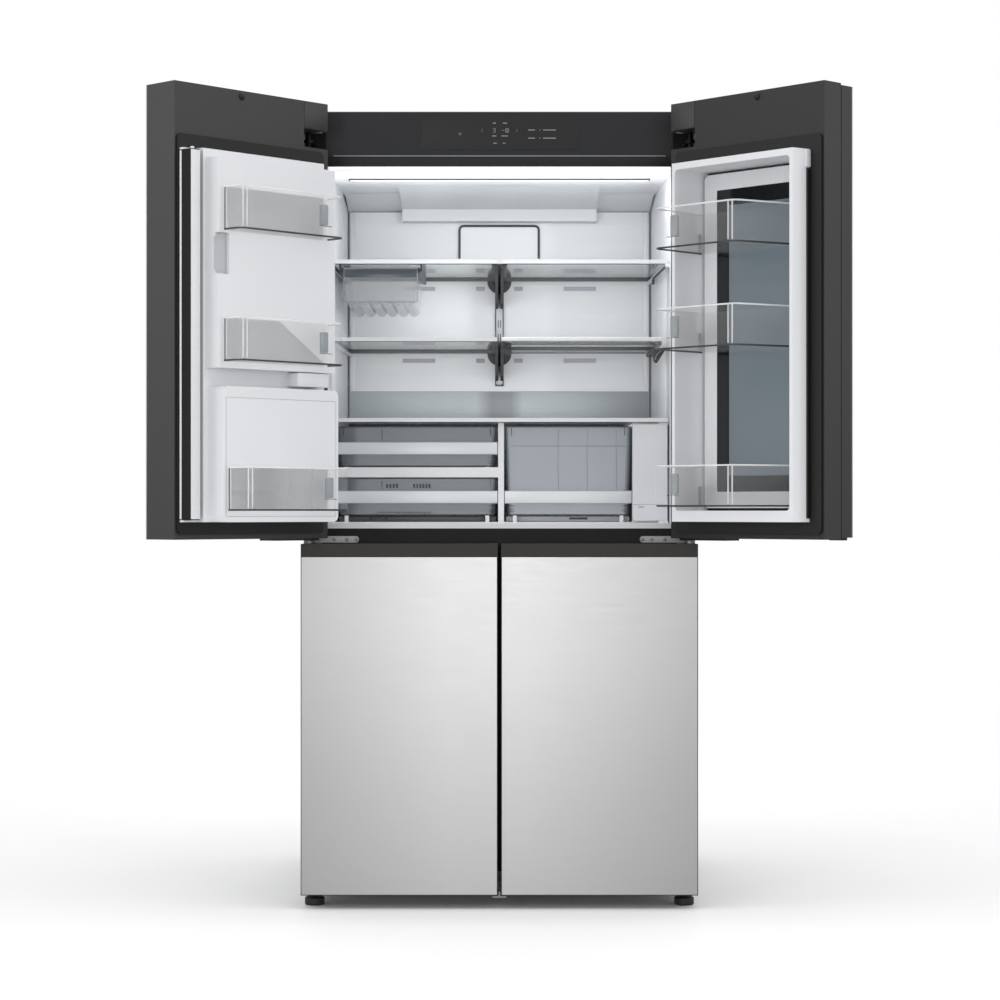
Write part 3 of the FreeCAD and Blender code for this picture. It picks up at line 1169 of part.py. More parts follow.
def ice_room(y):
    """The ice room's hollow between two depths."""
    wall = ICE_ROOM_WALL
    return block((ICE_COVER_SIDE + wall, ICE_COVER_FREE - wall), y,
                 (ICE_COVER_BOTTOM + wall, ICE_COVER_TOP - wall))


def ice_basket(low):
    """One clear basket on the ice-room cover, from the height of its floor."""
    x = (ICE_COVER_SIDE + ICE_BASKET_INSET, ICE_COVER_FREE - ICE_BASKET_FREE_INSET)
    y = (ICE_COVER_FACE, ICE_COVER_FACE + ICE_BASKET_DEPTH)
    outer = round_plan(x, y, (low, low + BASKET_HEIGHT), BASKET_ROUND)
    wall = BASKET_WALL
    hollow = round_plan((x[0] + wall, x[1] - wall), (y[0] + wall, y[1] - wall),
                        (low + wall, low + 2 * BASKET_HEIGHT),
                        BASKET_ROUND - wall)
    return outer.cut(hollow)


def make_left_door():
    skin = block((0, UPPER_WIDTH), (0, DOOR_PANEL), (UPPER_DOOR_BOTTOM, UPPER_DOOR_TOP))
    save("left_door_panel", swung(skin.cut(dispenser_room())))

    room_back = LINER_FACE - ICE_ROOM_DEPTH
    body = block((0, UPPER_WIDTH), (DOOR_PANEL, DOOR_THICKNESS), (UPPER_DOOR_BOTTOM, UPPER_DOOR_TOP))
    body = body.fuse(stop_plate()).cut(dispenser_room()).cut(upper_hinge_room())
    body = body.cut(door_pin_hole((UPPER_DOOR_BOTTOM - STOP_PLATE_THICK,
                                   UPPER_DOOR_BOTTOM + DOOR_PIN_LENGTH + PIN_HOLE_SPARE)))
    body = body.cut(ice_room((room_back, LINER_FACE)))
    save("left_door_frame", swung(body.removeSplitter()))

    plateau = plan([(LINER_SIDE, DOOR_THICKNESS), (LINER_FREE, DOOR_THICKNESS),
                    (LINER_FREE - LINER_DRAFT, LINER_FACE), (LINER_SIDE, LINER_FACE)],
                    (LINER_BOTTOM, LINER_TOP))
    bulge = round_front((BULGE_SIDE, BULGE_FREE), (LINER_FACE, BULGE_FACE),
                        (LINER_BOTTOM, BULGE_TOP), BULGE_ROUND)
    liner = plateau.fuse(bulge).cut(dispenser_room()).cut(ice_room((DOOR_THICKNESS, LINER_FACE)))

    ear_y = (MULLION_FOOT, MULLION_PIVOT[1] + 2 * MULLION_CORNER)
    pivot_x, pivot_y = ICE_PIVOT
    pin_x, pin_y = MULLION_PIVOT
    ear_x = (LINER_FREE - 2 * LINER_DRAFT, pin_x + MULLION_CORNER)
    ears = [block(ear_x, ear_y, (LINER_BOTTOM, LINER_BOTTOM + MULLION_EAR)),
            block(ear_x, ear_y, (LINER_TOP - MULLION_EAR, LINER_TOP)),
            rod(MULLION_PIN, (pin_x, pin_y, LINER_BOTTOM + MULLION_EAR), (0, 0, 1), MULLION_PIN_LENGTH),
            rod(MULLION_PIN, (pin_x, pin_y, LINER_TOP - MULLION_EAR - MULLION_PIN_LENGTH), (0, 0, 1),
                MULLION_PIN_LENGTH)]
    reach = (LINER_FACE, ICE_PIVOT[1] + ICE_COVER_PIVOT_IN)
    ice_ear_x = (ICE_COVER_SIDE, pivot_x + ICE_COVER_PIVOT_IN)
    low_ear = ICE_COVER_BOTTOM - SLIDE_CLEAR
    high_ear = ICE_COVER_TOP + SLIDE_CLEAR
    ears += [block(ice_ear_x, reach, (low_ear - ICE_EAR, low_ear)),
             block(ice_ear_x, reach, (high_ear, high_ear + ICE_EAR)),
             rod(ICE_PIN_RADIUS, (pivot_x, pivot_y, low_ear), (0, 0, 1), ICE_PIN_LENGTH),
             rod(ICE_PIN_RADIUS, (pivot_x, pivot_y, high_ear - ICE_PIN_LENGTH), (0, 0, 1),
                 ICE_PIN_LENGTH)]
    save("left_door_liner", swung(join(liner, *ears)))
    save("left_door_gasket", swung(upper_gasket()))

    x = (LEFT_BASKET_SIDE, LEFT_BASKET_FREE)
    y = (BULGE_FACE, BULGE_FACE + LEFT_BASKET_DEPTH)
    wall = BASKET_WALL
    z = (LEFT_BASKET_BOTTOM, LEFT_BASKET_BOTTOM + BASKET_HEIGHT)
    basket = round_plan(x, y, z, BASKET_ROUND)
    hollow = round_plan((x[0] + wall, x[1] - wall), (y[0] + wall, y[1] - wall),
                        (z[0] + wall, z[1] + wall),
                        BASKET_ROUND - wall)
    save("left_door_basket", swung(basket.cut(hollow)))
    make_ice_room(room_back)
    make_mullion()
    make_dispenser()


def make_ice_room(room_back):
    pivot_x, pivot_y = ICE_PIVOT
    radius = ICE_COVER_PIVOT_IN
    slant = radius * math.sqrt(0.5)
    z0 = ICE_COVER_BOTTOM
    corner = Part.Arc(Vector(pivot_x - radius, pivot_y, z0),
                      Vector(pivot_x - slant, pivot_y - slant, z0),
                      Vector(pivot_x, pivot_y - radius, z0)).toShape()
    points = [(pivot_x, ICE_COVER_BACK), (ICE_COVER_FREE, ICE_COVER_BACK),
              (ICE_COVER_FREE - ICE_COVER_DRAFT, ICE_COVER_FACE), (ICE_COVER_SIDE, ICE_COVER_FACE),
              (ICE_COVER_SIDE, pivot_y)]
    lines = [Part.makeLine(Vector(*a, z0), Vector(*b, z0)) for a, b in zip(points, points[1:])]
    cover = Part.Face(Part.Wire([corner] + lines)).extrude(Vector(0, 0,
                                                                  ICE_COVER_TOP - ICE_COVER_BOTTOM))
    latch_low = ICE_COVER_BOTTOM + LATCH_RISE
    latch = block((ICE_COVER_FREE - LATCH_WIDTH, ICE_COVER_FREE + LATCH_WIDTH),
                  (ICE_COVER_FACE - LATCH_DEPTH, ICE_COVER_FACE + LATCH_DEPTH),
                  (latch_low, latch_low + LATCH_HEIGHT))
    cover = cover.cut(latch)
    for low in (ICE_COVER_BOTTOM, ICE_COVER_TOP - ICE_PIN_LENGTH):
        cover = cover.cut(rod(ICE_PIN_RADIUS + PIN_CLEAR, (pivot_x, pivot_y, low), (0, 0, 1),
                              ICE_PIN_LENGTH))
    save("ice_cover", swung(cover))
    save("ice_cover_baskets", swung(group(*[ice_basket(low) for low in ICE_BASKET_BOTTOMS])))

    room = ice_room((room_back, LINER_FACE)).BoundBox
    x = (room.XMin, room.XMax)
    y = (room.YMin, room.YMax - ICE_UNIT_MARGIN)
    maker = round_front((x[0] + ICE_UNIT_MARGIN, x[1] - ICE_UNIT_MARGIN), y,
                        (room.ZMax - ICE_TRAY_HEIGHT, room.ZMax),
                        BASKET_ROUND)
    bin_z = (room.ZMin, room.ZMax - ICE_TRAY_HEIGHT - ICE_BIN_GAP)
    bucket = tub((x[0] + ICE_UNIT_MARGIN, x[1] - ICE_UNIT_MARGIN), y, bin_z, BASKET_WALL, BASKET_WALL,
                 BASKET_ROUND)
    save("ice_maker", swung(group(maker, bucket)))


def make_mullion():
    pin_x, pin_y = MULLION_PIVOT
    x = (MULLION_BACK - MULLION_THICK, MULLION_BACK)
    y = (MULLION_FOOT, MULLION_FOOT + MULLION_DEPTH)
    wire = round_wire(x, y, MULLION_CORNER, lambda p, q: Vector(p, q, MULLION_BOTTOM))
    bar = Part.Face(wire).extrude(Vector(0, 0, MULLION_TOP - MULLION_BOTTOM))
    depth = MULLION_PIN_LENGTH + PIN_HOLE_SPARE
    for low in (MULLION_BOTTOM, MULLION_TOP - depth):
        bar = bar.cut(rod(MULLION_PIN + PIN_CLEAR, (pin_x, pin_y, low), (0, 0, 1), depth))
    save("mullion_bar", swung(bar))


def make_dispenser():
    wall = DISPENSER_WALL
    x = (DISPENSER_SIDE, DISPENSER_SIDE + DISPENSER_WIDTH)
    top = DISPENSER_BOTTOM + DISPENSER_HEIGHT
    inside = round_front((x[0] + wall, x[1] - wall), (-wall, DISPENSER_DEPTH - wall),
                         (DISPENSER_BOTTOM + wall, top - wall), DISPENSER_ROUND)
    housing = dispenser_room().removeSplitter().cut(inside)
    middle = (x[0] + x[1]) / 2
    chute = Part.makeCone(CHUTE_RADIUS * 0.7, CHUTE_RADIUS, CHUTE_LENGTH,
                          Vector(middle, DISPENSER_DEPTH / 2 - LEVER_EAR, top - wall - CHUTE_LENGTH))
    pin_z = top - wall - CHUTE_LENGTH - 2 * LEVER_EAR
    half = LEVER_WIDTH / 2
    ears = []
    for side in (-1, 1):
        near = middle + side * (half + SLIDE_CLEAR)
        far = near + side * LEVER_EAR
        ears.append(block((min(near, far), max(near, far)),
                          (LEVER_PIVOT_DEPTH - LEVER_EAR, DISPENSER_DEPTH - wall),
                          (pin_z - LEVER_EAR, pin_z + LEVER_EAR)))
    housing = join(housing, chute, *ears)
    hole = rod(LEVER_PIN + PIN_CLEAR, (middle - LEVER_WIDTH, LEVER_PIVOT_DEPTH, pin_z), (1, 0, 0),
               2 * LEVER_WIDTH)
    save("dispenser_housing", swung(housing.cut(hole)))

    paddle = round_front((middle - half, middle + half),
                         (LEVER_PIVOT_DEPTH - LEVER_THICK / 2, LEVER_PIVOT_DEPTH + LEVER_THICK / 2),
                         (pin_z - LEVER_LENGTH, pin_z), LEVER_EAR)
    barrel = rod(LEVER_EAR - LEVER_PIN / 2, (middle - half, LEVER_PIVOT_DEPTH, pin_z), (1, 0, 0),
                 LEVER_WIDTH)
    axle_half = half + SLIDE_CLEAR + LEVER_EAR
    axle = rod(LEVER_PIN, (middle - axle_half, LEVER_PIVOT_DEPTH, pin_z), (1, 0, 0), 2 * axle_half)
    save("dispenser_lever", swung(join(paddle, barrel, axle)))

    low = DISPENSER_BOTTOM + wall + SLIDE_CLEAR
    margin = wall + DISPENSER_ROUND
    tray = block((x[0] + margin, x[1] - margin), (TRAY_FRONT, LEVER_PIVOT_DEPTH),
                 (low, low + TRAY_HEIGHT))
    slot_step = (DISPENSER_WIDTH - 2 * margin - 2 * TRAY_MARGIN) / TRAY_SLATS
    for number in range(TRAY_SLATS):
        start = x[0] + margin + TRAY_MARGIN + slot_step * number
        tray = tray.cut(block((start, start + slot_step / 2),
                              (TRAY_FRONT + TRAY_MARGIN, LEVER_PIVOT_DEPTH - TRAY_MARGIN),
                              (low + wall, low + 2 * TRAY_HEIGHT)))
    save("drip_tray", swung(tray))


def make_right_door():
    def placed(shape):
        return mirrored(swung(shape))

    hinge_x = (0, OUTER_HINGE_WIDTH)
    frame = block((0, UPPER_WIDTH), (OUTER_BACK, DOOR_THICKNESS), (UPPER_DOOR_BOTTOM, UPPER_DOOR_TOP))
    plate_y = (OUTER_PIVOT_FRONT - 2 * OUTER_PIN, OUTER_BACK)
    top_plate = block(hinge_x, plate_y, (UPPER_DOOR_TOP - OUTER_HINGE_PLATE, UPPER_DOOR_TOP))
    foot_plate = block(hinge_x, plate_y, (UPPER_DOOR_BOTTOM, UPPER_DOOR_BOTTOM + OUTER_HINGE_PLATE))
    pins = [rod(OUTER_PIN, (OUTER_PIVOT_SIDE, OUTER_PIVOT_FRONT, low), (0, 0, 1), OUTER_PIN_LENGTH)
            for low in (UPPER_DOOR_BOTTOM, UPPER_DOOR_TOP - OUTER_PIN_LENGTH)]
    plate = stop_plate()
    opening = block((LINER_SIDE, LINER_FREE), (0, DOOR_THICKNESS), (LINER_BOTTOM, LINER_TOP))
    frame = frame.cut(opening).fuse(plate).cut(upper_hinge_room())
    frame = frame.fuse([top_plate, foot_plate] + pins)
    frame = frame.cut(door_pin_hole((UPPER_DOOR_BOTTOM - STOP_PLATE_THICK,
                                     UPPER_DOOR_BOTTOM + DOOR_PIN_LENGTH + PIN_HOLE_SPARE)))
    save("right_door_frame", placed(frame.removeSplitter()))

    ring = plan([(LINER_SIDE, OUTER_BACK), (LINER_FREE, OUTER_BACK), (LINER_FREE, DOOR_THICKNESS),
                 (LINER_FREE - LINER_DRAFT, RIGHT_LINER_FACE), (LINER_SIDE, RIGHT_LINER_FACE)],
                (LINER_BOTTOM, LINER_TOP))
    hollow = round_front((RING_SIDE, RING_FREE), (0, 2 * DOOR_THICKNESS), (RING_BOTTOM, RING_TOP),
                         RIGHT_LINER_WALL)
    save("right_door_liner", placed(ring.cut(hollow)))
    save("right_door_gasket", placed(upper_gasket()))
    save("right_door_baskets", placed(group(*[right_basket(low) for low in RIGHT_BASKET_BOTTOMS])))
    make_outer_door(placed)


def right_basket(low):
    """A basket hung between the liner's walls, with a slanted free end."""
    def outline(inset):
        side = RING_SIDE + RIGHT_BASKET_SIDE
        free = RING_FREE - RIGHT_BASKET_FREE_INSET
        back = RIGHT_BASKET_BACK + RIGHT_BASKET_BAR
        return [(side - RIGHT_BASKET_SIDE / 2 + inset, back + inset),
                (side + inset, RIGHT_BASKET_FRONT - inset),
                (free - inset, RIGHT_BASKET_FRONT - inset),
                (free + RIGHT_BASKET_SLANT - inset, back + inset)]

    wall = BASKET_WALL
    body = plan(outline(0), (low, low + RIGHT_BASKET_HEIGHT))
    hollow = plan(outline(wall), (low + wall, low + 2 * RIGHT_BASKET_HEIGHT))
    bar = block((RING_SIDE, RING_FREE),
                (RIGHT_BASKET_BACK, RIGHT_BASKET_BACK + RIGHT_BASKET_BAR),
                (low, low + RIGHT_BASKET_HEIGHT / 2))
    return join(body.cut(hollow), bar)


def make_outer_door(placed):
    z = (OUTER_BOTTOM, OUTER_TOP)
    plug_x = (RING_SIDE + PLUG_CLEAR, RING_FREE - PLUG_CLEAR)
    plug_z = (RING_BOTTOM + PLUG_CLEAR, RING_TOP - PLUG_CLEAR)
    pane_x = (plug_x[0] + PLUG_FRAME, plug_x[1] - PLUG_FRAME)
    pane_z = (plug_z[0] + PLUG_FRAME, plug_z[1] - PLUG_FRAME)
    clear_x = (pane_x[0] + WINDOW_BORDER, pane_x[1] - WINDOW_BORDER)
    clear_z = (pane_z[0] + WINDOW_BORDER, pane_z[1] - WINDOW_BORDER)
    window = block(clear_x, (-DOOR_PANEL, OUTER_BACK), clear_z)
    holes = [rod(OUTER_PIN + PIN_CLEAR, (OUTER_PIVOT_SIDE, OUTER_PIVOT_FRONT, low), (0, 0, 1),
                 OUTER_PIN_LENGTH)
             for low in (OUTER_BOTTOM, OUTER_TOP - OUTER_PIN_LENGTH)]

    skin = block((0, UPPER_WIDTH), (0, DOOR_PANEL), z)
    save("outer_door_panel", placed(skin.cut(window)))

    button_x = (UPPER_WIDTH - BUTTON_FREE_INSET - BUTTON_WIDTH, UPPER_WIDTH - BUTTON_FREE_INSET)
    button_y = (BUTTON_FRONT, BUTTON_FRONT + BUTTON_DEPTH)
    button_low = OUTER_BOTTOM - BUTTON_SHOWS
    pocket = block((button_x[0] - SLIDE_CLEAR, button_x[1] + SLIDE_CLEAR),
                   (button_y[0] - SLIDE_CLEAR, button_y[1] + SLIDE_CLEAR),
                   (OUTER_BOTTOM, button_low + BUTTON_HEIGHT + BUTTON_TRAVEL + SLIDE_CLEAR))
    body = block((0, UPPER_WIDTH), (DOOR_PANEL, OUTER_THICKNESS),
                 z).cut(window).cut(pocket).cut(upper_hinge_room())
    for hole in holes:
        body = body.cut(hole)
    save("outer_door_frame", placed(body))
    save("release_button",
         placed(round_front(button_x, button_y, (button_low, button_low + BUTTON_HEIGHT),
                                              BUTTON_SHOWS / 2)))

    plug = round_front(plug_x, (OUTER_THICKNESS, PLUG_FACE), plug_z, BASKET_ROUND)
    save("outer_door_liner", placed(plug.cut(block(pane_x, (0, DOOR_THICKNESS), pane_z))))
    back_pane = block(pane_x, (PLUG_FACE - WINDOW_SET_BACK - GLASS, PLUG_FACE - WINDOW_SET_BACK),
                      pane_z)
    front_pane = block(clear_x, (0, DOOR_PANEL), clear_z)
    save("window_glass", placed(group(back_pane, front_pane)))


def make_lower_doors():
    z = (LOWER_DOOR_BOTTOM, LOWER_DOOR_TOP)
    cap_bottom = LOWER_DOOR_TOP - CAP_HEIGHT
    skin = block((0, LOWER_WIDTH), (0, DOOR_PANEL), (LOWER_DOOR_BOTTOM, cap_bottom))
    body = block((0, LOWER_WIDTH), (DOOR_PANEL, DOOR_THICKNESS), z)
    cap = block((0, LOWER_WIDTH), (0, DOOR_PANEL), (cap_bottom, LOWER_DOOR_TOP))
    grip = round_plan((GRIP_MARGIN, LOWER_WIDTH - GRIP_MARGIN), (GRIP_FRONT, GRIP_FRONT + GRIP_WIDTH),
                      (LOWER_DOOR_TOP - GRIP_DEPTH, LOWER_DOOR_TOP), GRIP_WIDTH / 3)
    body = join(body, cap).cut(grip)
    spare = DOOR_PIN_LENGTH + PIN_HOLE_SPARE
    body = body.cut(door_pin_hole((LOWER_DOOR_BOTTOM, LOWER_DOOR_BOTTOM + spare)))
    body = body.cut(door_pin_hole((LOWER_DOOR_TOP - spare, LOWER_DOOR_TOP)))

    free = LOWER_WIDTH - LINER_FREE_INSET
    liner_z = (LOWER_DOOR_BOTTOM + LOWER_LINER_BOTTOM_INSET, LOWER_DOOR_TOP - LOWER_LINER_TOP_INSET)
    liner = plan([(LINER_SIDE, DOOR_THICKNESS), (free, DOOR_THICKNESS),
                  (free - LINER_DRAFT, LINER_FACE),
                  (LINER_SIDE + LINER_DRAFT, LINER_FACE)], liner_z)
    y = (DOOR_THICKNESS, DOOR_THICKNESS + GASKET_THICK)
    outside = round_front((LINER_SIDE - GASKET_WIDTH, free + GASKET_FREE_WIDTH), y,
                          (liner_z[0] - LOWER_GASKET_WIDTH, liner_z[1] + LOWER_GASKET_WIDTH),
                          BASKET_ROUND)
    gasket = outside.cut(block((LINER_SIDE, free), y, liner_z))
    for name, shape in (("panel", skin), ("body", body), ("liner", liner), ("gasket", gasket)):
        closed = swung(shape, open_door=False)
        save("lower_left_" + name, closed)
        save("lower_right_" + name, mirrored(closed))


def main():
    make_case()
    make_insulation()
    make_liners()
    make_front_trim()
    make_ceiling_and_back()
    make_shelves()
    make_shelf_brackets()
    make_utility_drawer()
    make_crispers()
    make_freezer_drawers()
    make_machinery()
    make_hinges_and_feet()
    make_left_door()
    make_right_door()
    make_lower_doors()
    os.makedirs("parts", exist_ok=True)
    for name, shape in nodes.items():
        shape.exportStep("parts/" + name + ".step")
    print(len(nodes), "pieces")


main()
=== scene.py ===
import json
import math

import bmesh
import bpy
import numpy as np
from bpy.types import Operator, Panel, PropertyGroup
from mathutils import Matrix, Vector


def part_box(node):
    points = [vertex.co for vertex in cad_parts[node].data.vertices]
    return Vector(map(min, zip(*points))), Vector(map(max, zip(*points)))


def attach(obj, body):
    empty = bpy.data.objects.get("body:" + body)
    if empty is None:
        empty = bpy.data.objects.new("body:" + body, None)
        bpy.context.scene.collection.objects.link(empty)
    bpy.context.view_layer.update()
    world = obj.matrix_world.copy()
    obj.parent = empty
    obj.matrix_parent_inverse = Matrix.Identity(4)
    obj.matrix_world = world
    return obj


bl_info = {
    "name": "Four-door refrigerator",
    "version": (1, 0, 0),
    "blender": (4, 5, 0),
    "location": "View3D > Sidebar > Refrigerator",
    "description": "Finishes and small fittings of a four-door refrigerator with a dispenser",
    "category": "Object",
}

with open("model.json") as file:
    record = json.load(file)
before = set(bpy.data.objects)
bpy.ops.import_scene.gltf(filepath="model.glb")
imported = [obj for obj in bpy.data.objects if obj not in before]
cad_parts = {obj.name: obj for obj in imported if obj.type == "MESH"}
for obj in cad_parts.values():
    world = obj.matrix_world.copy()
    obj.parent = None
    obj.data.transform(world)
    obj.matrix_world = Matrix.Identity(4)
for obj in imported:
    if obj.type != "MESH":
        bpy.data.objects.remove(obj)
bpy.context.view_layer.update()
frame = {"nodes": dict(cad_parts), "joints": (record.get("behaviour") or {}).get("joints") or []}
NODES = frame["nodes"]
JOINTS = {joint["name"]: joint for joint in frame["joints"]}
MM = 1000  # millimetres in a metre


def linear(code):
    """A hex colour of the sRGB scale as linear light with full opacity."""
    part = np.array([int(code[i:i + 2], 16) for i in (0, 2, 4)]) / 255
    light = np.where(part <= 0.04045, part / 12.92, ((part + 0.055) / 1.055) ** 2.4)
    return (*light.tolist(), 1.0)


# Places. Small pieces are worked out in millimetres, in the cabinet's frame with Y from the closed
# doors' front, or in an upper door's own frame with X from its hinge side and Y from its front.

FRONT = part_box("lower_left_panel")[0].y
PIVOT = np.array(JOINTS["left_door_hinge"]["pos_m"])
PIVOT_FROM_SIDE = (PIVOT[0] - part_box("lower_left_panel")[0].x) * MM
PIVOT_FROM_FRONT = (PIVOT[1] - FRONT) * MM
OPEN = math.radians(-JOINTS["left_door_hinge"]["range_deg"][0])
SWING = np.array([[math.cos(OPEN), -math.sin(OPEN)], [math.sin(OPEN), math.cos(OPEN)]])


def cabinet(points):
    """Millimetres in the cabinet's frame to metres in the part's frame."""
    return points / MM + (0, FRONT, 0)


def left_door(points):
    """Millimetres on the left door to metres: the door's frame turned about its hinge."""
    flat = (points[:, :2] - (PIVOT_FROM_SIDE, PIVOT_FROM_FRONT)) @ SWING / MM + PIVOT[:2]
    return np.column_stack([flat, points[:, 2] / MM])


def right_door(points):
    """The right door's frame is the left one's in a mirror."""
    return left_door(points) * (-1, 1, 1)


def from_cabinet(points):
    """The way back from cabinet."""
    return (points - (0, FRONT, 0)) * MM


def from_left_door(points):
    """The way back from left_door."""
    flat = (points[:, :2] - PIVOT[:2]) * MM @ SWING.T + (PIVOT_FROM_SIDE, PIVOT_FROM_FRONT)
    return np.column_stack([flat, points[:, 2] * MM])


def from_right_door(points):
    """The way back from right_door."""
    return from_left_door(points * (-1, 1, 1))


def spans(node, back=from_cabinet, gap=60.0):
    """The X, Y and Z spans of a node in a frame, one set for each part that stands clear in height."""
    mesh = NODES[node].data
    points = np.empty(len(mesh.vertices) * 3, np.float32)
    mesh.vertices.foreach_get("co", points)
    points = back(points.reshape(-1, 3).astype(float))
    corners = np.empty(len(mesh.loops), np.int32)
    mesh.loops.foreach_get("vertex_index", corners)
    heights = points[corners.reshape(-1, 3), 2]
    low, high = heights.min(1), heights.max(1)
    levels = np.unique(points[:, 2].round(2))
    middles = (levels[1:] + levels[:-1]) / 2
    open_steps = [m for m, a, b in zip(middles, levels[:-1], levels[1:])
                  if b - a > gap and not np.any((low < m) & (high > m))]
    edges = [-np.inf, *open_steps, np.inf]
    parts = [points[(points[:, 2] > a) & (points[:, 2] < b)] for a, b in zip(edges[:-1], edges[1:])]
    return [np.stack([part.min(0), part.max(0)], 1) for part in parts]


# Surfaces. Each shape is its points, the four-sided faces of its grid and its end faces.

def lattice(rows, columns, closed=False):
    """Faces of a grid that is closed across its columns and, if asked, also along its rows."""
    i, j = np.meshgrid(np.arange(rows if closed else rows - 1), np.arange(columns), indexing="ij")
    after, beside = (i + 1) % rows, (j + 1) % columns
    corners = [i * columns + j, i * columns + beside, after * columns + beside, after * columns + j]
    quads = np.stack(corners, -1).reshape(-1, 4)
    ends = [] if closed else [np.arange(columns)[::-1], np.arange((rows - 1) * columns, rows * columns)]
    return quads, ends


def outline(half, radius, steps=4, drawn_in=0.0):
    """A rectangle with round corners: four quarter circles about the corner centres."""
    radius = max(radius - drawn_in, 0.01)
    angle = np.linspace(0, np.pi / 2, steps)
    angles = (angle[None, :] + np.arange(4)[:, None] * np.pi / 2).ravel()
    signs = np.repeat(np.array([[1, 1], [-1, 1], [-1, -1], [1, -1]]), steps, 0)
    centres = signs * (np.asarray(half, float) - drawn_in - radius)
    return centres + radius * np.column_stack([np.cos(angles), np.sin(angles)])


def slab(x, y, z, radius=0.8, edge=0.4, along=1):
    """A bar: a round-cornered rectangle carried along one axis, drawn in by a quarter circle at each end."""
    span = np.array([x, y, z], float)
    middle, half = span.mean(1), np.abs(span[:, 1] - span[:, 0]) / 2
    across = [axis for axis in range(3) if axis != along]
    edge = min(edge, half.min() * 0.9)
    radius = min(radius, half[across].min() * 0.95)
    bend = np.linspace(0, np.pi / 2, 3)
    inset = edge * (1 - np.sin(bend))
    place = half[along] - edge * (1 - np.cos(bend))
    rows = np.array([outline(half[across], radius, 4, step) for step in (*inset, *inset[::-1])])
    points = np.zeros((*rows.shape[:2], 3))
    points[..., across] = rows
    points[..., along] = np.concatenate([-place, place[::-1]])[:, None]
    return ((points + middle).reshape(-1, 3), *lattice(*rows.shape[:2]))


def both(inner, outer):
    """A span to the right of the middle, after its mirror image to the left."""
    return (-outer, -inner), (inner, outer)


def ring(across, up, depth, width, radius):
    """An upright frame: a small rectangle carried round a round-cornered rectangle in X and Z."""
    span = np.array([across, up], float)
    half = (span[:, 1] - span[:, 0]) / 2
    outer, inner = outline(half, radius, 5), outline(half, radius, 5, width)
    points = np.zeros((4, len(outer), 3))
    points[..., [0, 2]] = np.array([outer, outer, inner, inner]) + span.mean(1)
    points[..., 1] = np.array([depth[0], depth[1], depth[1], depth[0]])[:, None]
    return (points.reshape(-1, 3), *lattice(4, len(outer), closed=True))


def run(path, width, height, up=(0, 0, 1), radius=0.5):
    """A round-cornered rectangle carried along a path, one side kept square to the up direction."""
    path = np.asarray(path, float)
    ahead = np.gradient(path, axis=0)
    side = np.cross(ahead, up)
    side /= np.linalg.norm(side, axis=1)[:, None]
    top = np.cross(side, ahead)
    top /= np.linalg.norm(top, axis=1)[:, None]
    profile = outline((width / 2, height / 2), min(radius, width / 2.1, height / 2.1))
    points = path[:, None] + profile[None, :, :1] * side[:, None] + profile[None, :, 1:] * top[:, None]
    return (points.reshape(-1, 3), *lattice(len(path), len(profile)))


def turned(profile, centre, axis, steps=24):
    """A surface of revolution: radius and height pairs turned about an axis through the centre."""
    axis = np.asarray(axis, float) / np.linalg.norm(axis)
    side = np.cross(axis, (0, 0, 1) if abs(axis[2]) < 0.9 else (1, 0, 0))
    side /= np.linalg.norm(side)
    angle = np.linspace(0, 2 * np.pi, steps, endpoint=False)
    spoke = np.cos(angle)[:, None] * side + np.sin(angle)[:, None] * np.cross(axis, side)
    profile = np.asarray(profile, float)
    points = centre + profile[:, None, :1] * spoke + profile[:, None, 1:] * axis
    return (points.reshape(-1, 3), *lattice(len(profile), steps))


def bowed(corners, radius, steps=5):
    """A flat path through corner points whose inner corners are rounded by quadratic curves."""
    corners = np.asarray(corners, float)
    before, here, after = corners[:-2], corners[1:-1], corners[2:]
    start = here + radius * (before - here) / np.linalg.norm(before - here, axis=1)[:, None]
    end = here + radius * (after - here) / np.linalg.norm(after - here, axis=1)[:, None]
    t = np.linspace(0, 1, steps)[None, :, None]
    bends = start[:, None] * (1 - t) ** 2 + here[:, None] * 2 * t * (1 - t) + end[:, None] * t ** 2
    return np.concatenate([corners[:1], bends.reshape(-1, 3), corners[-1:]])


def prism(points, depth, axis=1):
    """A flat outline carried straight along an axis between two places."""
    points = np.asarray(points, float)
    flat = [i for i in range(3) if i != axis]
    made = np.zeros((2, len(points), 3))
    made[..., flat] = points
    made[..., axis] = np.asarray(depth, float)[:, None]
    return (made.reshape(-1, 3), *lattice(2, len(points)))


WELD, SHARP = 1e-6, math.radians(40)  # metres, and the turn from which an edge is sharp
PLACES = {"left_door": left_door, "mullion": left_door, "ice_cover": left_door, "drip_tray": left_door,
          "right_door": right_door, "outer_door": right_door}


def piece(name, shapes, body, finish):
    """One object from several shapes, worked out in the frame of the body that it rides on."""
    place = PLACES.get(body, cabinet)
    points, quads, ends, count = [], [], [], 0
    for shape_points, shape_quads, shape_ends in shapes:
        points.append(place(shape_points))
        quads.append(shape_quads + count)
        ends += [(end + count).tolist() for end in shape_ends]
        count += len(shape_points)
    mesh = bpy.data.meshes.new(name)
    mesh.from_pydata(np.concatenate(points).tolist(), [], np.concatenate(quads).tolist() + ends)
    work = bmesh.new()
    work.from_mesh(mesh)
    bmesh.ops.remove_doubles(work, verts=work.verts, dist=WELD)
    bmesh.ops.recalc_face_normals(work, faces=work.faces)
    work.to_mesh(mesh)
    work.free()
    mesh.shade_smooth()
    mesh.set_sharp_from_angle(angle=SHARP)
    mesh.materials.append(MATERIALS[finish])
    made = bpy.data.objects.new(name, mesh)
    bpy.context.scene.collection.objects.link(made)
    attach(made, body)


# Materials

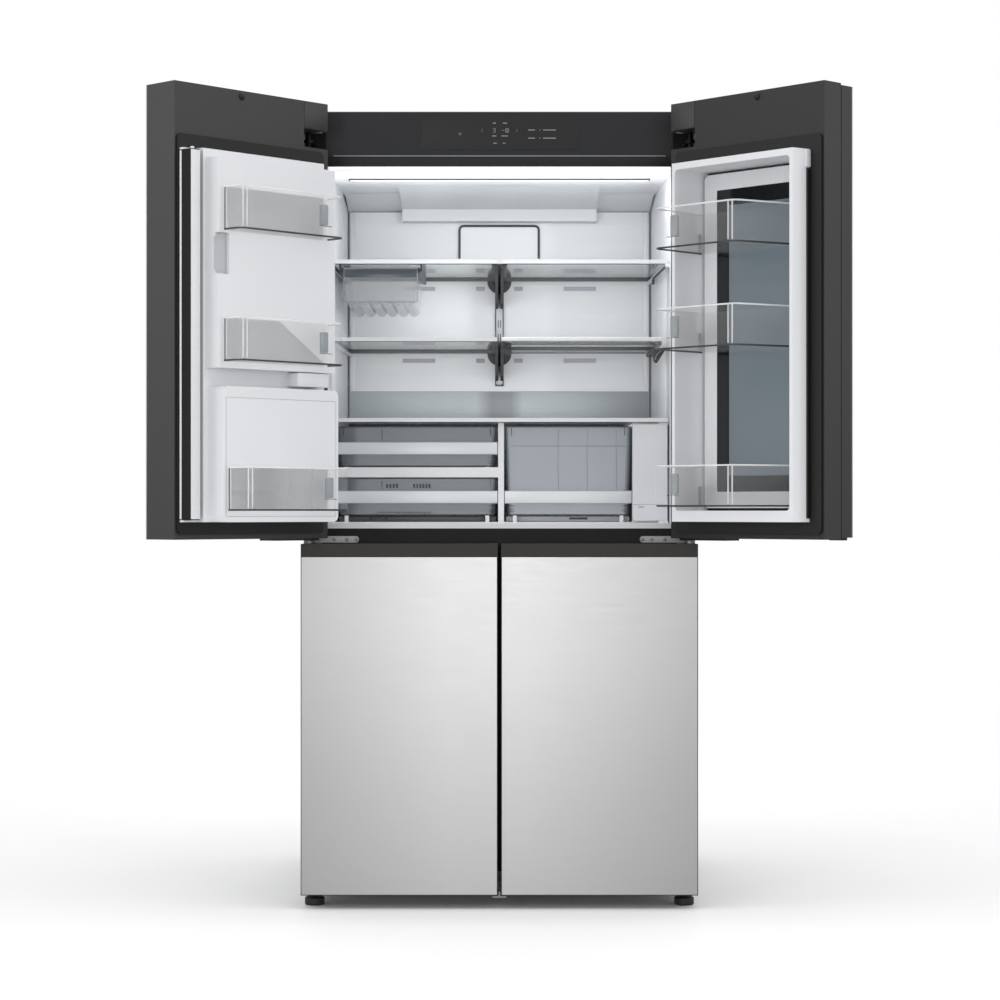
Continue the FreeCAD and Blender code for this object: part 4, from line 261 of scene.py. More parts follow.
MATERIALS = {}
MIX_A, MIX_B = 6, 7  # a Mix node's colour sockets
FROM_LOW, FROM_HIGH, TO_LOW, TO_HIGH = 1, 2, 3, 4  # a Map Range node's sockets
GLOSS_DRIFT = 0.06  # how far the grain moves the roughness, each way
GRAIN_DEPTH, RIPPLE_DEPTH, RIPPLE = 0.0003, 0.001, 0.04  # metres, metres, strength


def tone(colour, factor=1.0):
    """A hex code or a panel colour as linear light, made darker or lighter by a factor."""
    light = linear(colour) if isinstance(colour, str) else colour
    return (*[min(part * factor, 1.0) for part in light[:3]], 1.0)


def feed(tree, node, sockets):
    """Give a node's sockets values or links."""
    for name, value in sockets.items():
        if isinstance(value, bpy.types.NodeSocket):
            tree.links.new(value, node.inputs[name])
        else:
            node.inputs[name].default_value = value


def add(tree, kind, sockets=None, **options):
    """Add one node, set its options and feed its sockets."""
    node = tree.nodes.new(kind)
    for name, value in options.items():
        setattr(node, name, value)
    feed(tree, node, sockets or {})
    return node


def begin(name, rough, metallic=0.0):
    """A new material, its shader with constants on its own sockets, and its object coordinates."""
    made = bpy.data.materials.new(name)
    made.use_nodes = True
    tree = made.node_tree
    shader = tree.nodes["Principled BSDF"]
    feed(tree, shader, {"Metallic": metallic, "Roughness": rough})
    MATERIALS[name] = made
    return tree, shader, add(tree, "ShaderNodeTexCoord").outputs["Object"]


def patterned(name, colour, rough, size_mm, bump=0.03, metallic=0.0, stretch=(1, 1, 1), shade=0.86,
              patch_mm=150.0, split=None, ramp=None):
    """A surface whose colour drifts in patches towards a darker shade, and whose grain of a size in
    millimetres, drawn out along an axis where it is brushed, moves its roughness and its normal.
    split gives an axis, a place in metres and a second colour beyond it; ramp gives factors of the
    colour at places along X in metres, with straight changes between them, that paint a reflection."""
    tree, shader, coordinates = begin(name, rough, metallic)
    patches = add(tree, "ShaderNodeTexNoise", {"Vector": coordinates, "Scale": MM / patch_mm, "Detail": 2.0})
    laid = add(tree, "ShaderNodeMapping", {"Vector": coordinates, "Scale": stretch})
    grain = add(tree, "ShaderNodeTexNoise", {"Vector": laid.outputs["Vector"], "Scale": MM / size_mm,
                                             "Detail": 3.0})
    amount = add(tree, "ShaderNodeMath", {0: patches.outputs["Fac"], 1: grain.outputs["Fac"]},
                 operation="MULTIPLY")
    mixed = add(tree, "ShaderNodeMix", {0: amount.outputs[0], MIX_A: tone(colour), MIX_B: tone(colour, shade)},
                data_type="RGBA").outputs[2]
    if split:
        axis, place, other = split
        sides = add(tree, "ShaderNodeSeparateXYZ", {0: coordinates})
        beyond = add(tree, "ShaderNodeMath", {0: sides.outputs[axis], 1: place}, operation="GREATER_THAN")
        mixed = add(tree, "ShaderNodeMix", {0: beyond.outputs[0], MIX_A: mixed, MIX_B: tone(other)},
                    data_type="RGBA").outputs[2]
    if ramp:
        sides = add(tree, "ShaderNodeSeparateXYZ", {0: coordinates})
        left, right = ramp[0][0], ramp[-1][0]
        place = add(tree, "ShaderNodeMapRange", {0: sides.outputs[0], FROM_LOW: left, FROM_HIGH: right})
        bands = add(tree, "ShaderNodeValToRGB", {0: place.outputs[0]})
        stops = bands.color_ramp.elements
        for x, _ in ramp[1:-1]:
            stops.new((x - left) / (right - left))
        for stop, (_, factor) in zip(stops, ramp):
            stop.color = (factor, factor, factor, 1)
        mixed = add(tree, "ShaderNodeMix", {0: 1.0, MIX_A: mixed, MIX_B: bands.outputs[0]},
                    data_type="RGBA", blend_type="MULTIPLY").outputs[2]
    gloss = add(tree, "ShaderNodeMapRange", {0: grain.outputs["Fac"], TO_LOW: max(rough - GLOSS_DRIFT, 0.02),
                                             TO_HIGH: rough + GLOSS_DRIFT})
    relief = add(tree, "ShaderNodeBump", {"Strength": bump, "Distance": GRAIN_DEPTH,
                                          "Height": grain.outputs["Fac"]})
    feed(tree, shader, {"Base Color": mixed, "Roughness": gloss.outputs[0], "Normal": relief.outputs[0]})


def clear(name, tint, rim, face, edge, rough=0.06, blend=0.35, ripple_mm=40.0):
    """A clear wall: its opacity and tone rise from the face value to the edge value as it turns away,
    and a slow ripple of the moulding moves its normal."""
    tree, shader, coordinates = begin(name, rough)
    turn = add(tree, "ShaderNodeLayerWeight", {"Blend": blend}).outputs["Facing"]
    opacity = add(tree, "ShaderNodeMapRange", {0: turn, TO_LOW: face, TO_HIGH: edge})
    mixed = add(tree, "ShaderNodeMix", {0: turn, MIX_A: tone(tint), MIX_B: tone(rim)}, data_type="RGBA")
    ripple = add(tree, "ShaderNodeTexNoise", {"Vector": coordinates, "Scale": MM / ripple_mm, "Detail": 1.0})
    relief = add(tree, "ShaderNodeBump", {"Strength": RIPPLE, "Distance": RIPPLE_DEPTH,
                                          "Height": ripple.outputs["Fac"]})
    feed(tree, shader, {"Base Color": mixed.outputs[2], "Alpha": opacity.outputs[0],
                        "Normal": relief.outputs[0]})


def glowing(name, strength, lamp_mm=60.0):
    """A lit diffuser: a white plastic that gives off light, a little uneven as over a row of small lamps."""
    tree, shader, coordinates = begin(name, 0.5)
    lamps = add(tree, "ShaderNodeTexNoise", {"Vector": coordinates, "Scale": MM / lamp_mm, "Detail": 1.0})
    power = add(tree, "ShaderNodeMapRange", {0: lamps.outputs["Fac"], TO_LOW: strength * 0.9,
                                             TO_HIGH: strength * 1.1})
    white = tone("ffffff")
    feed(tree, shader, {"Base Color": white, "Emission Color": white, "Emission Strength": power.outputs[0]})


def make_materials(colours):
    """Every finish, from its real material and what that gives the eye."""
    # Moulded polystyrene and white ABS: bright, with a soft gloss and hardly any grain.
    patterned("liner_polystyrene", colours.liner, 0.34, 3.0, 0.02, shade=0.95)
    patterned("trim_abs_white", "dfe1e3", 0.28, 2.0, 0.02, shade=0.93)
    patterned("filter_abs_white", "d9dbde", 0.3, 2.0, 0.02, shade=0.93)
    # Moulded ABS of the doors' bodies: charcoal, with the grain of a spark-eroded mould that keeps lights
    # soft. The real grain of about 0.1 mm would not show, so it is drawn at 0.9 mm.
    patterned("charcoal_abs", colours.charcoal, 0.46, 0.9, 0.08)
    patterned("charcoal_abs_dark", "1f1e1d", 0.5, 0.9, 0.08)
    patterned("charcoal_abs_cap", "25221f", 0.6, 0.9, 0.05)
    # The near black ring round each lower door's steel front is painted shade on the sheet's folded edge.
    patterned("hem_painted_shade", "0b0a0a", 0.6, 0.9, 0.05)
    patterned("hinge_cap_abs", colours.charcoal, 0.4, 0.9, 0.06, shade=1.1)
    # Acrylic sheet and dark mouldings: smooth and near black, with a haze that spreads the lights wide.
    patterned("fascia_acrylic", "07080f", 0.55, 2.0, 0.01)
    patterned("display_acrylic", "040507", 0.5, 2.0, 0.005)
    patterned("lip_acrylic", "020203", 0.6, 2.0, 0.005)
    patterned("rail_abs_dark", "05070a", 0.75, 1.0, 0.05)
    patterned("mullion_pvc_black", "020202", 0.8, 1.0, 0.05)
    # Stainless sheet with level brush lines, which blur what it mirrors up and down. The real lines are too
    # fine to show and are drawn at 1.4 mm. The ramp is a painted reflection: the steel grows darker towards
    # its sides, as it would if it mirrored a room that is darker to the sides.
    patterned("door_steel_brushed", colours.steel, 0.36, 1.4, 0.05, 1.0, (0.02, 1, 1), 0.9, 400.0,
              ramp=((-0.46, 0.78), (-0.12, 1.0), (0.06, 1.0), (0.46, 0.78)))
    # Metal-look film: level soft bands in a low gloss. The ramps are painted reflections of the room: the film
    # grows darker towards its sides, and the band also at its ends and in a strip near its middle.
    patterned("back_panel_film", "eff1f3", 0.4, 8.0, 0.01, 0.1, (0.02, 1, 1), 0.94, 260.0,
              ramp=((-0.39, 0.86), (-0.2, 0.93), (-0.08, 1.0), (0.12, 1.0), (0.16, 0.93), (0.39, 0.88)))
    patterned("back_band_film", "c9d0d4", 0.4, 8.0, 0.01, 0.1, (0.3, 1, 1), 0.9, 200.0,
              ramp=((-0.39, 0.8), (-0.3, 0.95), (-0.06, 1.0), (-0.02, 0.55), (0.03, 0.6), (0.06, 1.0),
                    (0.2, 0.9), (0.39, 0.55)))
    # Powder coat with a slight orange peel, zinc coat with its large spangles, and rough sawn foam.
    patterned("case_paint_grey", "85878b", 0.42, 1.6, 0.08)
    patterned("galvanised_sheet", "a6a9ab", 0.5, 14.0, 0.03, 0.6, shade=0.7)
    patterned("foam_polyurethane_cut", "e0d2a4", 0.9, 2.0, 0.3, shade=0.75)
    # Shelf parts: white trim, dark behind the shelves' fronts, on painted brackets and a plated rail.
    patterned("shelf_trim_abs", "d9dbdd", 0.28, 2.0, 0.02, shade=0.93, split=(1, 0.1, "43474a"))
    patterned("bracket_paint_dark", "3a3c3e", 0.4, 1.4, 0.05)
    patterned("rail_zinc_grey", "b9bdc0", 0.36, 1.4, 0.04, 0.3)
    # Soft PVC and rubber: matt black with a waxy sheen.
    patterned("gasket_pvc", "0b0b0c", 0.62, 1.2, 0.06)
    patterned("rubber_black", "080808", 0.55, 1.0, 0.05)
    patterned("foot_nylon_black", "161616", 0.5, 1.0, 0.06)
    # Zinc-plated and rolled metal, dulled by handling, and the mouldings about it: enamelled, matt or glossy.
    patterned("hinge_plate_zinc", "8d8d8b", 0.36, 2.0, 0.05, 0.8, shade=0.75, split=(2, 1.7, "161617"))
    patterned("screw_zinc", "83837f", 0.36, 1.0, 0.05, 0.9, shade=0.7)
    patterned("fin_aluminium", "c3c6c9", 0.4, 5.0, 0.04, 0.9)
    patterned("compressor_enamel", "161617", 0.3, 3.0, 0.05)
    patterned("fan_nylon", "232324", 0.5, 1.2, 0.05)
    patterned("dispenser_abs_black", "121214", 0.2, 2.0, 0.01)
    patterned("lever_grey_and_floor_shade", "5c5e61", 0.42, 1.0, 0.05)
    patterned("insert_abs_grey", "bcbec1", 0.4, 1.2, 0.04)
    patterned("bar_abs_satin_silver", "dcdfe1", 0.3, 1.5, 0.03, 0.05, (0.03, 1, 1), 0.9)
    # Moulded edges, seams and slots: thin lines that hold the shade.
    patterned("seam_abs_grey", "b2b4b7", 0.5, 2.0, 0.02)
    patterned("line_abs_charcoal", "303234", 0.4, 1.2, 0.03)
    patterned("vent_abs_grey", "8f8e99", 0.45, 1.5, 0.03)
    # A lighter copy of the vent grey for the back panel's inserts: painted light against the shade of the recesses
    # they sit in.
    patterned("vent_abs_pale", "c9c8d3", 0.45, 1.5, 0.03)
    # A light grey line along the fascia's groove: a painted highlight.
    patterned("highlight_line_acrylic", "9aa9b4", 0.3, 2.0, 0.01)
    patterned("drawer_band_abs", "4f585f", 0.2, 2.0, 0.02)
    # Ceramic print fired on glass, and pad-printed marks.
    patterned("frit_ceramic_fired", "13171b", 0.1, 2.0, 0.005)
    patterned("mark_ink_printed", "8f949a", 0.5, 1.0, 0.01)
    # Clear styrene mouldings and glass: see-through on the face, denser where the wall turns away.
    clear("basket_san_clear", "eef1f2", "b9c0c3", 0.02, 0.11)
    clear("basket_rim_clear", "f8fafa", "dde2e4", 0.55, 0.85)
    clear("clip_san_grey", "a7aeb2", "6d757b", 0.55, 0.85)
    clear("crisper_san_smoke", colours.smoke, "6b7378", 0.72, 0.92, 0.12)
    # The two shallow crispers take a darker copy of the same smoke plastic: painted shade, for the little light
    # that reaches them.
    clear("crisper_san_dark", colours.shaded, "4a5053", 0.78, 0.92, 0.12)
    clear("drawer_san_grey", "c2c6c8", "7d8387", 0.22, 0.66)
    clear("shelf_glass_clear", "b5bfc0", "7f8a8a", 0.22, 0.7, 0.03, 0.45)
    clear("window_glass_tinted", colours.window, "9aa4aa", 0.88, 0.97, 0.08, 0.4, 220.0)
    # Opal acrylic over small lamps: an even white glow.
    glowing("lamp_acrylic_diffuser", 0.9)
    glowing("strip_acrylic_diffuser", 4.0)


FINISHES = {
    "liner_polystyrene": "fridge_liner freezer_liners ceiling_duct left_door_liner ice_cover right_door_liner "
                         "outer_door_liner lower_left_liner lower_right_liner",
    "trim_abs_white": "crisper_frame", "charcoal_abs": "left_door_frame",
    "charcoal_abs_dark": "right_door_frame outer_door_frame",
    "charcoal_abs_cap": "lower_left_body lower_right_body", "fascia_acrylic": "control_panel",
    "rail_abs_dark": "mid_rail", "mullion_pvc_black": "mullion_bar",
    "door_steel_brushed": "left_door_panel outer_door_panel lower_left_panel lower_right_panel",
    "back_panel_film": "back_panels", "case_paint_grey": "outer_case",
    "galvanised_sheet": "rear_panels base_chassis", "foam_polyurethane_cut": "insulation",
    "shelf_trim_abs": "shelf_trims", "bracket_paint_dark": "shelf_brackets",
    "shelf_glass_clear": "shelf_glass sliding_shelf",
    "crisper_san_smoke": "right_crisper", "crisper_san_dark": "lower_crisper upper_crisper",
    "drawer_san_grey": "utility_drawer freezer_drawers", "filter_abs_white": "filter_cover water_filter",
    "gasket_pvc": "left_door_gasket right_door_gasket lower_left_gasket lower_right_gasket",
    "basket_san_clear": "left_door_basket ice_cover_baskets right_door_baskets",
    "window_glass_tinted": "window_glass", "dispenser_abs_black": "dispenser_housing",
    "hinge_plate_zinc": "hinge_brackets", "foot_nylon_black": "front_feet rear_rollers release_button",
    "fin_aluminium": "condenser evaporator", "compressor_enamel": "compressor",
    "fan_nylon": "condenser_fan evaporator_fan", "lamp_acrylic_diffuser": "ceiling_lamp",
    "lever_grey_and_floor_shade": "ice_maker dispenser_lever drip_tray",
}


# What a user would change

def colour_of(name, description, code):
    """A colour for the panel, its default from a hex code."""
    return bpy.props.FloatVectorProperty(name=name, description=description, subtype="COLOR", size=3,
                                         min=0.0, max=1.0, default=linear(code)[:3])


def length_of(name, description, millimetres):
    """A length for the panel, its default from millimetres."""
    return bpy.props.FloatProperty(name=name, description=description, unit="LENGTH", min=0.0,
                                   default=millimetres / MM)


class FRIDGE_PG_colours(PropertyGroup):
    """Colours of the main finishes"""
    steel: colour_of("Door steel", "Brushed sheet of the door fronts", "c7c7c7")
    liner: colour_of("Liner", "Moulded plastic inside the cabinet and doors", "e4e5e8")
    charcoal: colour_of("Door body", "Grained plastic of the upper doors' bodies", "2e2d2c")
    smoke: colour_of("Right crisper", "Smoky clear plastic of the deep crisper", "a3abb2")
    # A darker copy of the smoke plastic, as painted shade on the two shallow crispers.
    shaded: colour_of("Left crispers", "Smoky clear plastic of the two shallow crispers", "717980")
    window: colour_of("Window", "Tinted glass of the door in the door", "6b7780")


class FRIDGE_PG_sizes(PropertyGroup):
    """Sizes of the small pieces"""
    bumper: length_of("Bumper radius", "Rubber stop on an upper door's back", 8.5)
    screw: length_of("Screw radius", "Head of a hinge screw", 4.2)
    line: length_of("Edge line", "Thickness of a basket's edge line", 3.0)
    frit: length_of("Window border", "Width of the black print on the window", 36.0)
    digit: length_of("Numeral height", "Height of the display's numerals", 9.0)


def sizes():
    """The panel's lengths, in metres."""
    return bpy.context.scene.fridge_sizes


class FRIDGE_OT_finishes(Operator):
    """Give every CAD node the finish of its real material"""
    bl_idname = "fridge.finishes"
    bl_label = "Finishes"

    def execute(self, context):
        make_materials(context.scene.fridge_colours)
        for finish, names in FINISHES.items():
            for name in names.split():
                NODES[name].data.materials.clear()
                NODES[name].data.materials.append(MATERIALS[finish])
        return {"FINISHED"}


# Places on the cabinet that several pieces share

FASCIA = spans("control_panel")[0]
LAMP = spans("ceiling_lamp")[0]
PANEL = spans("back_panels")[-1]
PANEL_FACE = spans("ceiling_duct")[0][1, 1]
TRIMS = spans("shelf_trims")
UPPER_TOP, LOWER_TOP, COVER_TOP = TRIMS[2][2, 1], TRIMS[1][2, 1], TRIMS[0][2, 1]
SHELF_HALF, SHELF_FRONT = TRIMS[2][0, 1], TRIMS[2][1, 0]
SHELF_THICK = UPPER_TOP - TRIMS[2][2, 0]
LINER = spans("fridge_liner")[0]
BRACKETS = spans("shelf_brackets")[0]
RAIL_FACE = BRACKETS[1, 1] - 10.0

SEGMENTS = {"1": "bc", "3": "abgcd", "8": "abcdefg", "-": "g"}
STROKE = np.array([-0.5, 0.5])  # half of a numeral bar's thickness, to both sides


def numeral(sign, x, z, height, y):
    """A plain numeral of up to seven level and upright bars."""
    wide, half = height * 0.26, height / 2
    bars = {"a": (-wide, wide, half, half), "g": (-wide, wide, 0, 0), "d": (-wide, wide, -half, -half),
            "b": (wide, wide, 0, half), "c": (wide, wide, -half, 0),
            "f": (-wide, -wide, 0, half), "e": (-wide, -wide, -half, 0)}
    return [slab(x + np.array(bars[key][:2]) + STROKE, y, z + np.array(bars[key][2:]) + STROKE, 0.3, 0.1)
            for key in SEGMENTS[sign]]


# The display from the fascia's middle and lower edge. Its marks stand about a level line of their own.
DISPLAY_X, DISPLAY_Z, MARKS_UP = (-181, 186), (38.4, 117.8), 84
READING = (("3", -12), ("-", 8), ("1", 12), ("8", 19))
ARROWS = ((-41, -2), (41, 2))
MARK_RING_X, MARK_RING_Z = (-95, -89), (-11, -5)
BARS = ((-16, -8, 17), (8, 18, 17), (-17, -7, -13), (5, 20, -13), (-14, -6, -30), (8, 14, -30),
        (67, 83, 1), (67, 83, -18), (94, 96, 1), (102, 132, 1), (94, 96, -18), (102, 132, -18))
LIP_Z, HIGHLIGHT_LINE_Z, HIGHLIGHT_LINE_INSET = (0.6, 22.4), (23.6, 25.2), 26


class FRIDGE_OT_display(Operator):
    """Make the fascia's display, its plain marks, the painted highlight along its groove and the black lip"""
    bl_idname = "fridge.display"
    bl_label = "Control display"

    def execute(self, context):
        face, low, half = FASCIA[1, 0], FASCIA[2, 0], FASCIA[0, 1]
        piece("display_glass", [slab(DISPLAY_X, (face - 0.6, face + 0.2), low + DISPLAY_Z, 2, 0.2)],
              "cabinet", "display_acrylic")
        y, z = (face - 1.0, face - 0.5), low + MARKS_UP
        marks = [bar for sign, x in READING for bar in numeral(sign, x, z, sizes().digit * MM, y)]
        marks += [run([(x - out, y[0], z + 4), (x + out, y[0], z), (x - out, y[0], z - 4)],
                      0.5, 0.9, (0, 1, 0), 0.2) for x, out in ARROWS]
        marks.append(ring(MARK_RING_X, z + MARK_RING_Z, y, 0.8, 3.0))
        marks += [slab((a, b), y, (z + up - 1, z + up + 1), 0.4, 0.1) for a, b, up in BARS]
        piece("display_marks", marks, "cabinet", "mark_ink_printed")
        piece("fascia_lip", [slab((1 - half, half - 1), (face - 0.5, face + 0.2), low + LIP_Z, 0.5, 0.2)],
              "cabinet", "lip_acrylic")
        # A light grey line along the groove at the fascia's foot: a painted highlight.
        piece("fascia_highlight_line", [slab((HIGHLIGHT_LINE_INSET - half, half - HIGHLIGHT_LINE_INSET), (face - 0.8, face + 0.2),
                                   low + HIGHLIGHT_LINE_Z, 0.3, 0.2)],
              "cabinet", "highlight_line_acrylic")
        return {"FINISHED"}


STRIP_REACH, STRIP_AHEAD, STRIP_DEEP = 36, 194, 10  # beyond the lamp's ends, ahead of it, and its own depth
COVE_REACH, COVE_HALF = 150, 390  # along the ceiling, and half of its length


class FRIDGE_OT_ceiling(Operator):
    """Make the light strip behind the fascia, the painted shade in the gap round the lamp and the sloped cove at
    the back
    """
    bl_idname = "fridge.ceiling"
    bl_label = "Ceiling lights"

    def execute(self, context):
        (_, half), (front, rear), (low, top) = LAMP
        strip = front - STRIP_AHEAD
        piece("light_strip", [slab((-half - STRIP_REACH, half + STRIP_REACH), (strip, strip + STRIP_DEEP),
                                   (top - 1.2, top - 0.2))],
              "cabinet", "strip_acrylic_diffuser")
        z = (low - 0.6, top - 0.2)
        # The dark bars in front of and beside the lamp are painted shade in the gap between the lamp and the
        # ceiling.
        ends = [slab(x, (front - 2, rear + 1), z, 0.6) for x in both(half + 0.2, half + 3)]
        piece("lamp_gap_shade", [slab((-half - 2, half + 2), (front - 2, front - 0.1), z, 0.6), *ends],
              "cabinet", "line_abs_charcoal")
        left, right = spans("ceiling_duct")[0][0]
        foot, back = PANEL[2, 1] + 0.5, PANEL_FACE
        cove = [(back - COVE_REACH, top - 0.3), (back + 18, top - 0.3), (back + 18, foot), (back - 1, foot)]
        piece("ceiling_cove", [prism(cove, x, 0) for x in ((-COVE_HALF, left - 0.4), (right + 0.4, COVE_HALF))],
              "cabinet", "liner_polystyrene")
        return {"FINISHED"}


WING = 13  # width of the film beside the back panel
BAND_DROP = 107.5  # from the lower shelf's top to the band's
PLATE_X, PLATE_UP, PLATE_BEND = (-103, 101.6), (50, 134.5), 12  # the plate's frame over the upper shelf
VENT_DROP, VENT_HALF, VENT_INSET = 28, 12, 4
RAIL_HALF, HUB_DROP, HUB_RADIUS = 8.2, 9.5, 32  # the rail's width, and the brackets' round hubs on it
SLOTS_X, SLOTS_UP = (-3, 3), (67, 140, 32)


class FRIDGE_OT_back_wall(Operator):
    """Make the back panel's edges, band, plate frame, vent inserts and the shelf rail's face"""
    bl_idname = "fridge.back_wall"
    bl_label = "Back wall"

    def execute(self, context):
        half, top, face = PANEL[0, 1], PANEL[2, 1], PANEL_FACE
        reach, band = half + WING, LOWER_TOP - BAND_DROP
        across = (-reach, reach)
        piece("panel_wings", [slab(x, (face + 0.4, face + 2.6), (COVER_TOP + 2, top - 1), 0.6)
                              for x in both(half + 0.2, reach)],
              "cabinet", "back_panel_film")
        edges = [slab(x, (face - 0.2, face + 2.8), (COVER_TOP + 2, top), 0.4)
                 for x in both(reach - 0.4, reach + 2)]
        edges += [slab(across, (face - 0.6, face + 0.2), (top - 2.4, top - 0.2), 0.4),
                  slab(across, (face - 0.9, face + 0.1), (band - 0.5, band + 1.1), 0.4)]
        piece("panel_edges", edges, "cabinet", "seam_abs_grey")
        piece("panel_band", [slab(across, (face - 0.6, face - 0.1), (COVER_TOP + 1, band), 0.4, 0.1)],
              "cabinet", "back_band_film")
        (left, right), (low, high), y = PLATE_X, UPPER_TOP + PLATE_UP, PANEL[1, 0] - 0.6
        arch = bowed([(left, y, low), (left, y, high), (right, y, high), (right, y, low)], PLATE_BEND)
        piece("plate_frame", [run(arch, 6, 2, (0, 1, 0))], "cabinet", "line_abs_charcoal")
        # The inserts take the lighter vent grey, painted light against the shade of their recesses.
        piece("vent_inserts", [slab((VENT_INSET - half, half - VENT_INSET), (face + 6, face + 7),
                                    (shelf - VENT_DROP - VENT_HALF, shelf - VENT_DROP + VENT_HALF), 1)
                               for shelf in (UPPER_TOP, LOWER_TOP)],
              "cabinet", "vent_abs_pale")
        x, y, hub = (-RAIL_HALF, RAIL_HALF), (RAIL_FACE - 1, RAIL_FACE + 0.2), LOWER_TOP - HUB_DROP
        piece("rail_face", [slab(x, y, (hub + HUB_RADIUS, UPPER_TOP - HUB_DROP - HUB_RADIUS), 2),
                            slab(x, y, (BRACKETS[2, 0] + 3, hub - HUB_RADIUS), 4)],
              "cabinet", "rail_zinc_grey")
        # Dark slabs over the rail's slots: painted shade inside them.
        slots = [slab((x - 1, x + 1), (RAIL_FACE - 1.4, RAIL_FACE - 0.6),
                      (LOWER_TOP + up - 10, LOWER_TOP + up + 10), 0.6) for x in SLOTS_X for up in SLOTS_UP]
        piece("rail_slots", slots, "cabinet", "line_abs_charcoal")
        return {"FINISHED"}


WALL_TAPER = (2, 23)  # how far the cavity's wall stands in from the liner's side, at the opening and the back


def wall_at(y):
    """Half of the cavity's width at a depth: a straight taper from the opening to the back."""
    return np.interp(y, LINER[1], LINER[0, 1] - WALL_TAPER)


SHELF_GAP = 6  # half of the gap between a shelf's two plates
END_BAR_Y, HOOK_Y = (16, 330), (60, 72)
# The hook below the lower shelf from its corner at the wall, and the light rib on its front
HOOK = np.array([(-36, 0), (-5, 0), (-5, -6), (-24, -36), (-31, -34), (-36, -16)])
HOOK_RIB = np.array([(-29, 59.4, -28), (-24, 59.4, -14), (-9, 59.4, -3)])
GLIDE_BLOCK_X, GLIDE_BLOCK_Y = (12, 29), (30, 60)


class FRIDGE_OT_shelves(Operator):
    """Make the shelves' under-lines, end bars, hooks and the sliding shelf's rails and trim"""
    bl_idname = "fridge.shelves"
    bl_label = "Shelf fittings"

    def execute(self, context):
        plates = both(SHELF_GAP, SHELF_HALF)
        rows = ((UPPER_TOP, plates), (LOWER_TOP, plates[:1]), (COVER_TOP, ((-SHELF_HALF, SHELF_HALF),)))
        under = [slab(x, (SHELF_FRONT + 1, SHELF_FRONT + 13),
                      (top - SHELF_THICK - 1, top - SHELF_THICK - 0.05), 0.3, 0.2)
                 for top, found in rows for x in found]
        piece("shelf_under_lines", under, "cabinet", "line_abs_charcoal")
        bars, feet = [], []
        y = np.linspace(*(SHELF_FRONT + END_BAR_Y), 6)
        for side in (-1, 1):
            path = np.column_stack([side * (wall_at(y) - 8.5), y, np.full(6, UPPER_TOP - SHELF_THICK - 6)])
            bars.append(run(path, 4, 7))
            end = path[-1]
            feet.append(slab((end[0] - 3, end[0] + 3), (end[1] - 6, end[1] + 8), (end[2] - 14, end[2] - 2), 1))
        piece("shelf_end_bars", bars, "cabinet", "bracket_paint_dark")
        x, z = wall_at(SHELF_FRONT + 70), LOWER_TOP - 22
        feet.append(prism(HOOK + (x, z), SHELF_FRONT + HOOK_Y))
        piece("shelf_end_hooks", feet, "cabinet", "line_abs_charcoal")
        piece("hook_rib", [run(bowed(HOOK_RIB + (x, SHELF_FRONT, z), 5), 1, 2, (0, 1, 0))],
              "cabinet", "rail_zinc_grey")
        left, right = spans("sliding_shelf")[0][0]
        low = LOWER_TOP - SHELF_THICK - 1.4
        piece("glide_rails", [slab((left + 8, right - 8), (y, y + wide), (low - tall, low), 1, 0.4, 0)
                              for y, wide, tall in ((SHELF_FRONT + 54, 6, 4), (SHELF_FRONT + 180, 16, 8))],
              "cabinet", "bracket_paint_dark")
        piece("glide_block", [slab(GLIDE_BLOCK_X, SHELF_FRONT + GLIDE_BLOCK_Y, z, 2, 1)
                              for z in ((low - 28, low - 14), (low - 12, low - 0.6))],
              "cabinet", "bracket_paint_dark")
        piece("sliding_trim", [slab((left - 0.4, right + 0.4), (SHELF_FRONT - 0.6, SHELF_FRONT + 14.4),
                                    (LOWER_TOP - SHELF_THICK + 0.1, LOWER_TOP + 0.4), 1.5, 0.4, 0)],
              "sliding_shelf", "trim_abs_white")
        return {"FINISHED"}


class FRIDGE_OT_utility(Operator):
    """Make the hanging drawer's thin frame, dark band and corner clips"""
    bl_idname = "fridge.utility"
    bl_label = "Hanging drawer"

    def execute(self, context):
        (x0, x1), (y0, _), (z0, z1) = spans("utility_drawer")[0]
        y, upright = (y0 - 0.8, y0 + 1), (z0 + 9, z1 - 3)
        piece("utility_rim", [slab((x0 + 1, x1 - 1), (y0 - 1.6, y0 + 1.6), (z1 - 3, z1 + 0.2), 1),
                              slab((x0 + 8, x1 - 8), y, (z0 + 8, z0 + 10), 0.8),
                              slab((x0 + 6, x0 + 8.2), y, upright, 0.8),
                              slab((x1 - 8.2, x1 - 6), y, upright, 0.8)],
              "utility_drawer", "vent_abs_grey")
        piece("utility_band", [slab((x0 + 7, x1 - 7), (y0 - 0.4, y0 + 0.4), (z1 - 22, z1 - 3.2), 0.4, 0.1)],
              "utility_drawer", "drawer_band_abs")
        piece("utility_clips", [slab(x, (y0 - 2.6, y0 + 2), (z1 - 12, z1 + 0.1), 1.5)
                                for x in ((x0 + 0.5, x0 + 6), (x1 - 6, x1 - 0.5))],
              "utility_drawer", "line_abs_charcoal")
        return {"FINISHED"}


CRISPER_FACE, CRISPER_TAPER = 9, 8  # the front wall behind the bar's front, and the slope of its sides
CRISPER_BAR_UP = (28.6, 59.4)
CATCHES_UP = (8, 13, 22)
TEETH_X = (*np.arange(4) * 8 - 272, *np.arange(6) * 7.4 - 207)
COMB_X = np.arange(20) * 6.6 - 294
# The left floor piece's mid grey is painted shade below the lower crisper; the right one has the tray's own light
# grey.
FLOORS = (("left", (-386, -8), "lever_grey_and_floor_shade"), ("right", (16, 312), "insert_abs_grey"))
FLOOR_SLOTS_X = ((-313, -306), (-276, -269), (168, 212))


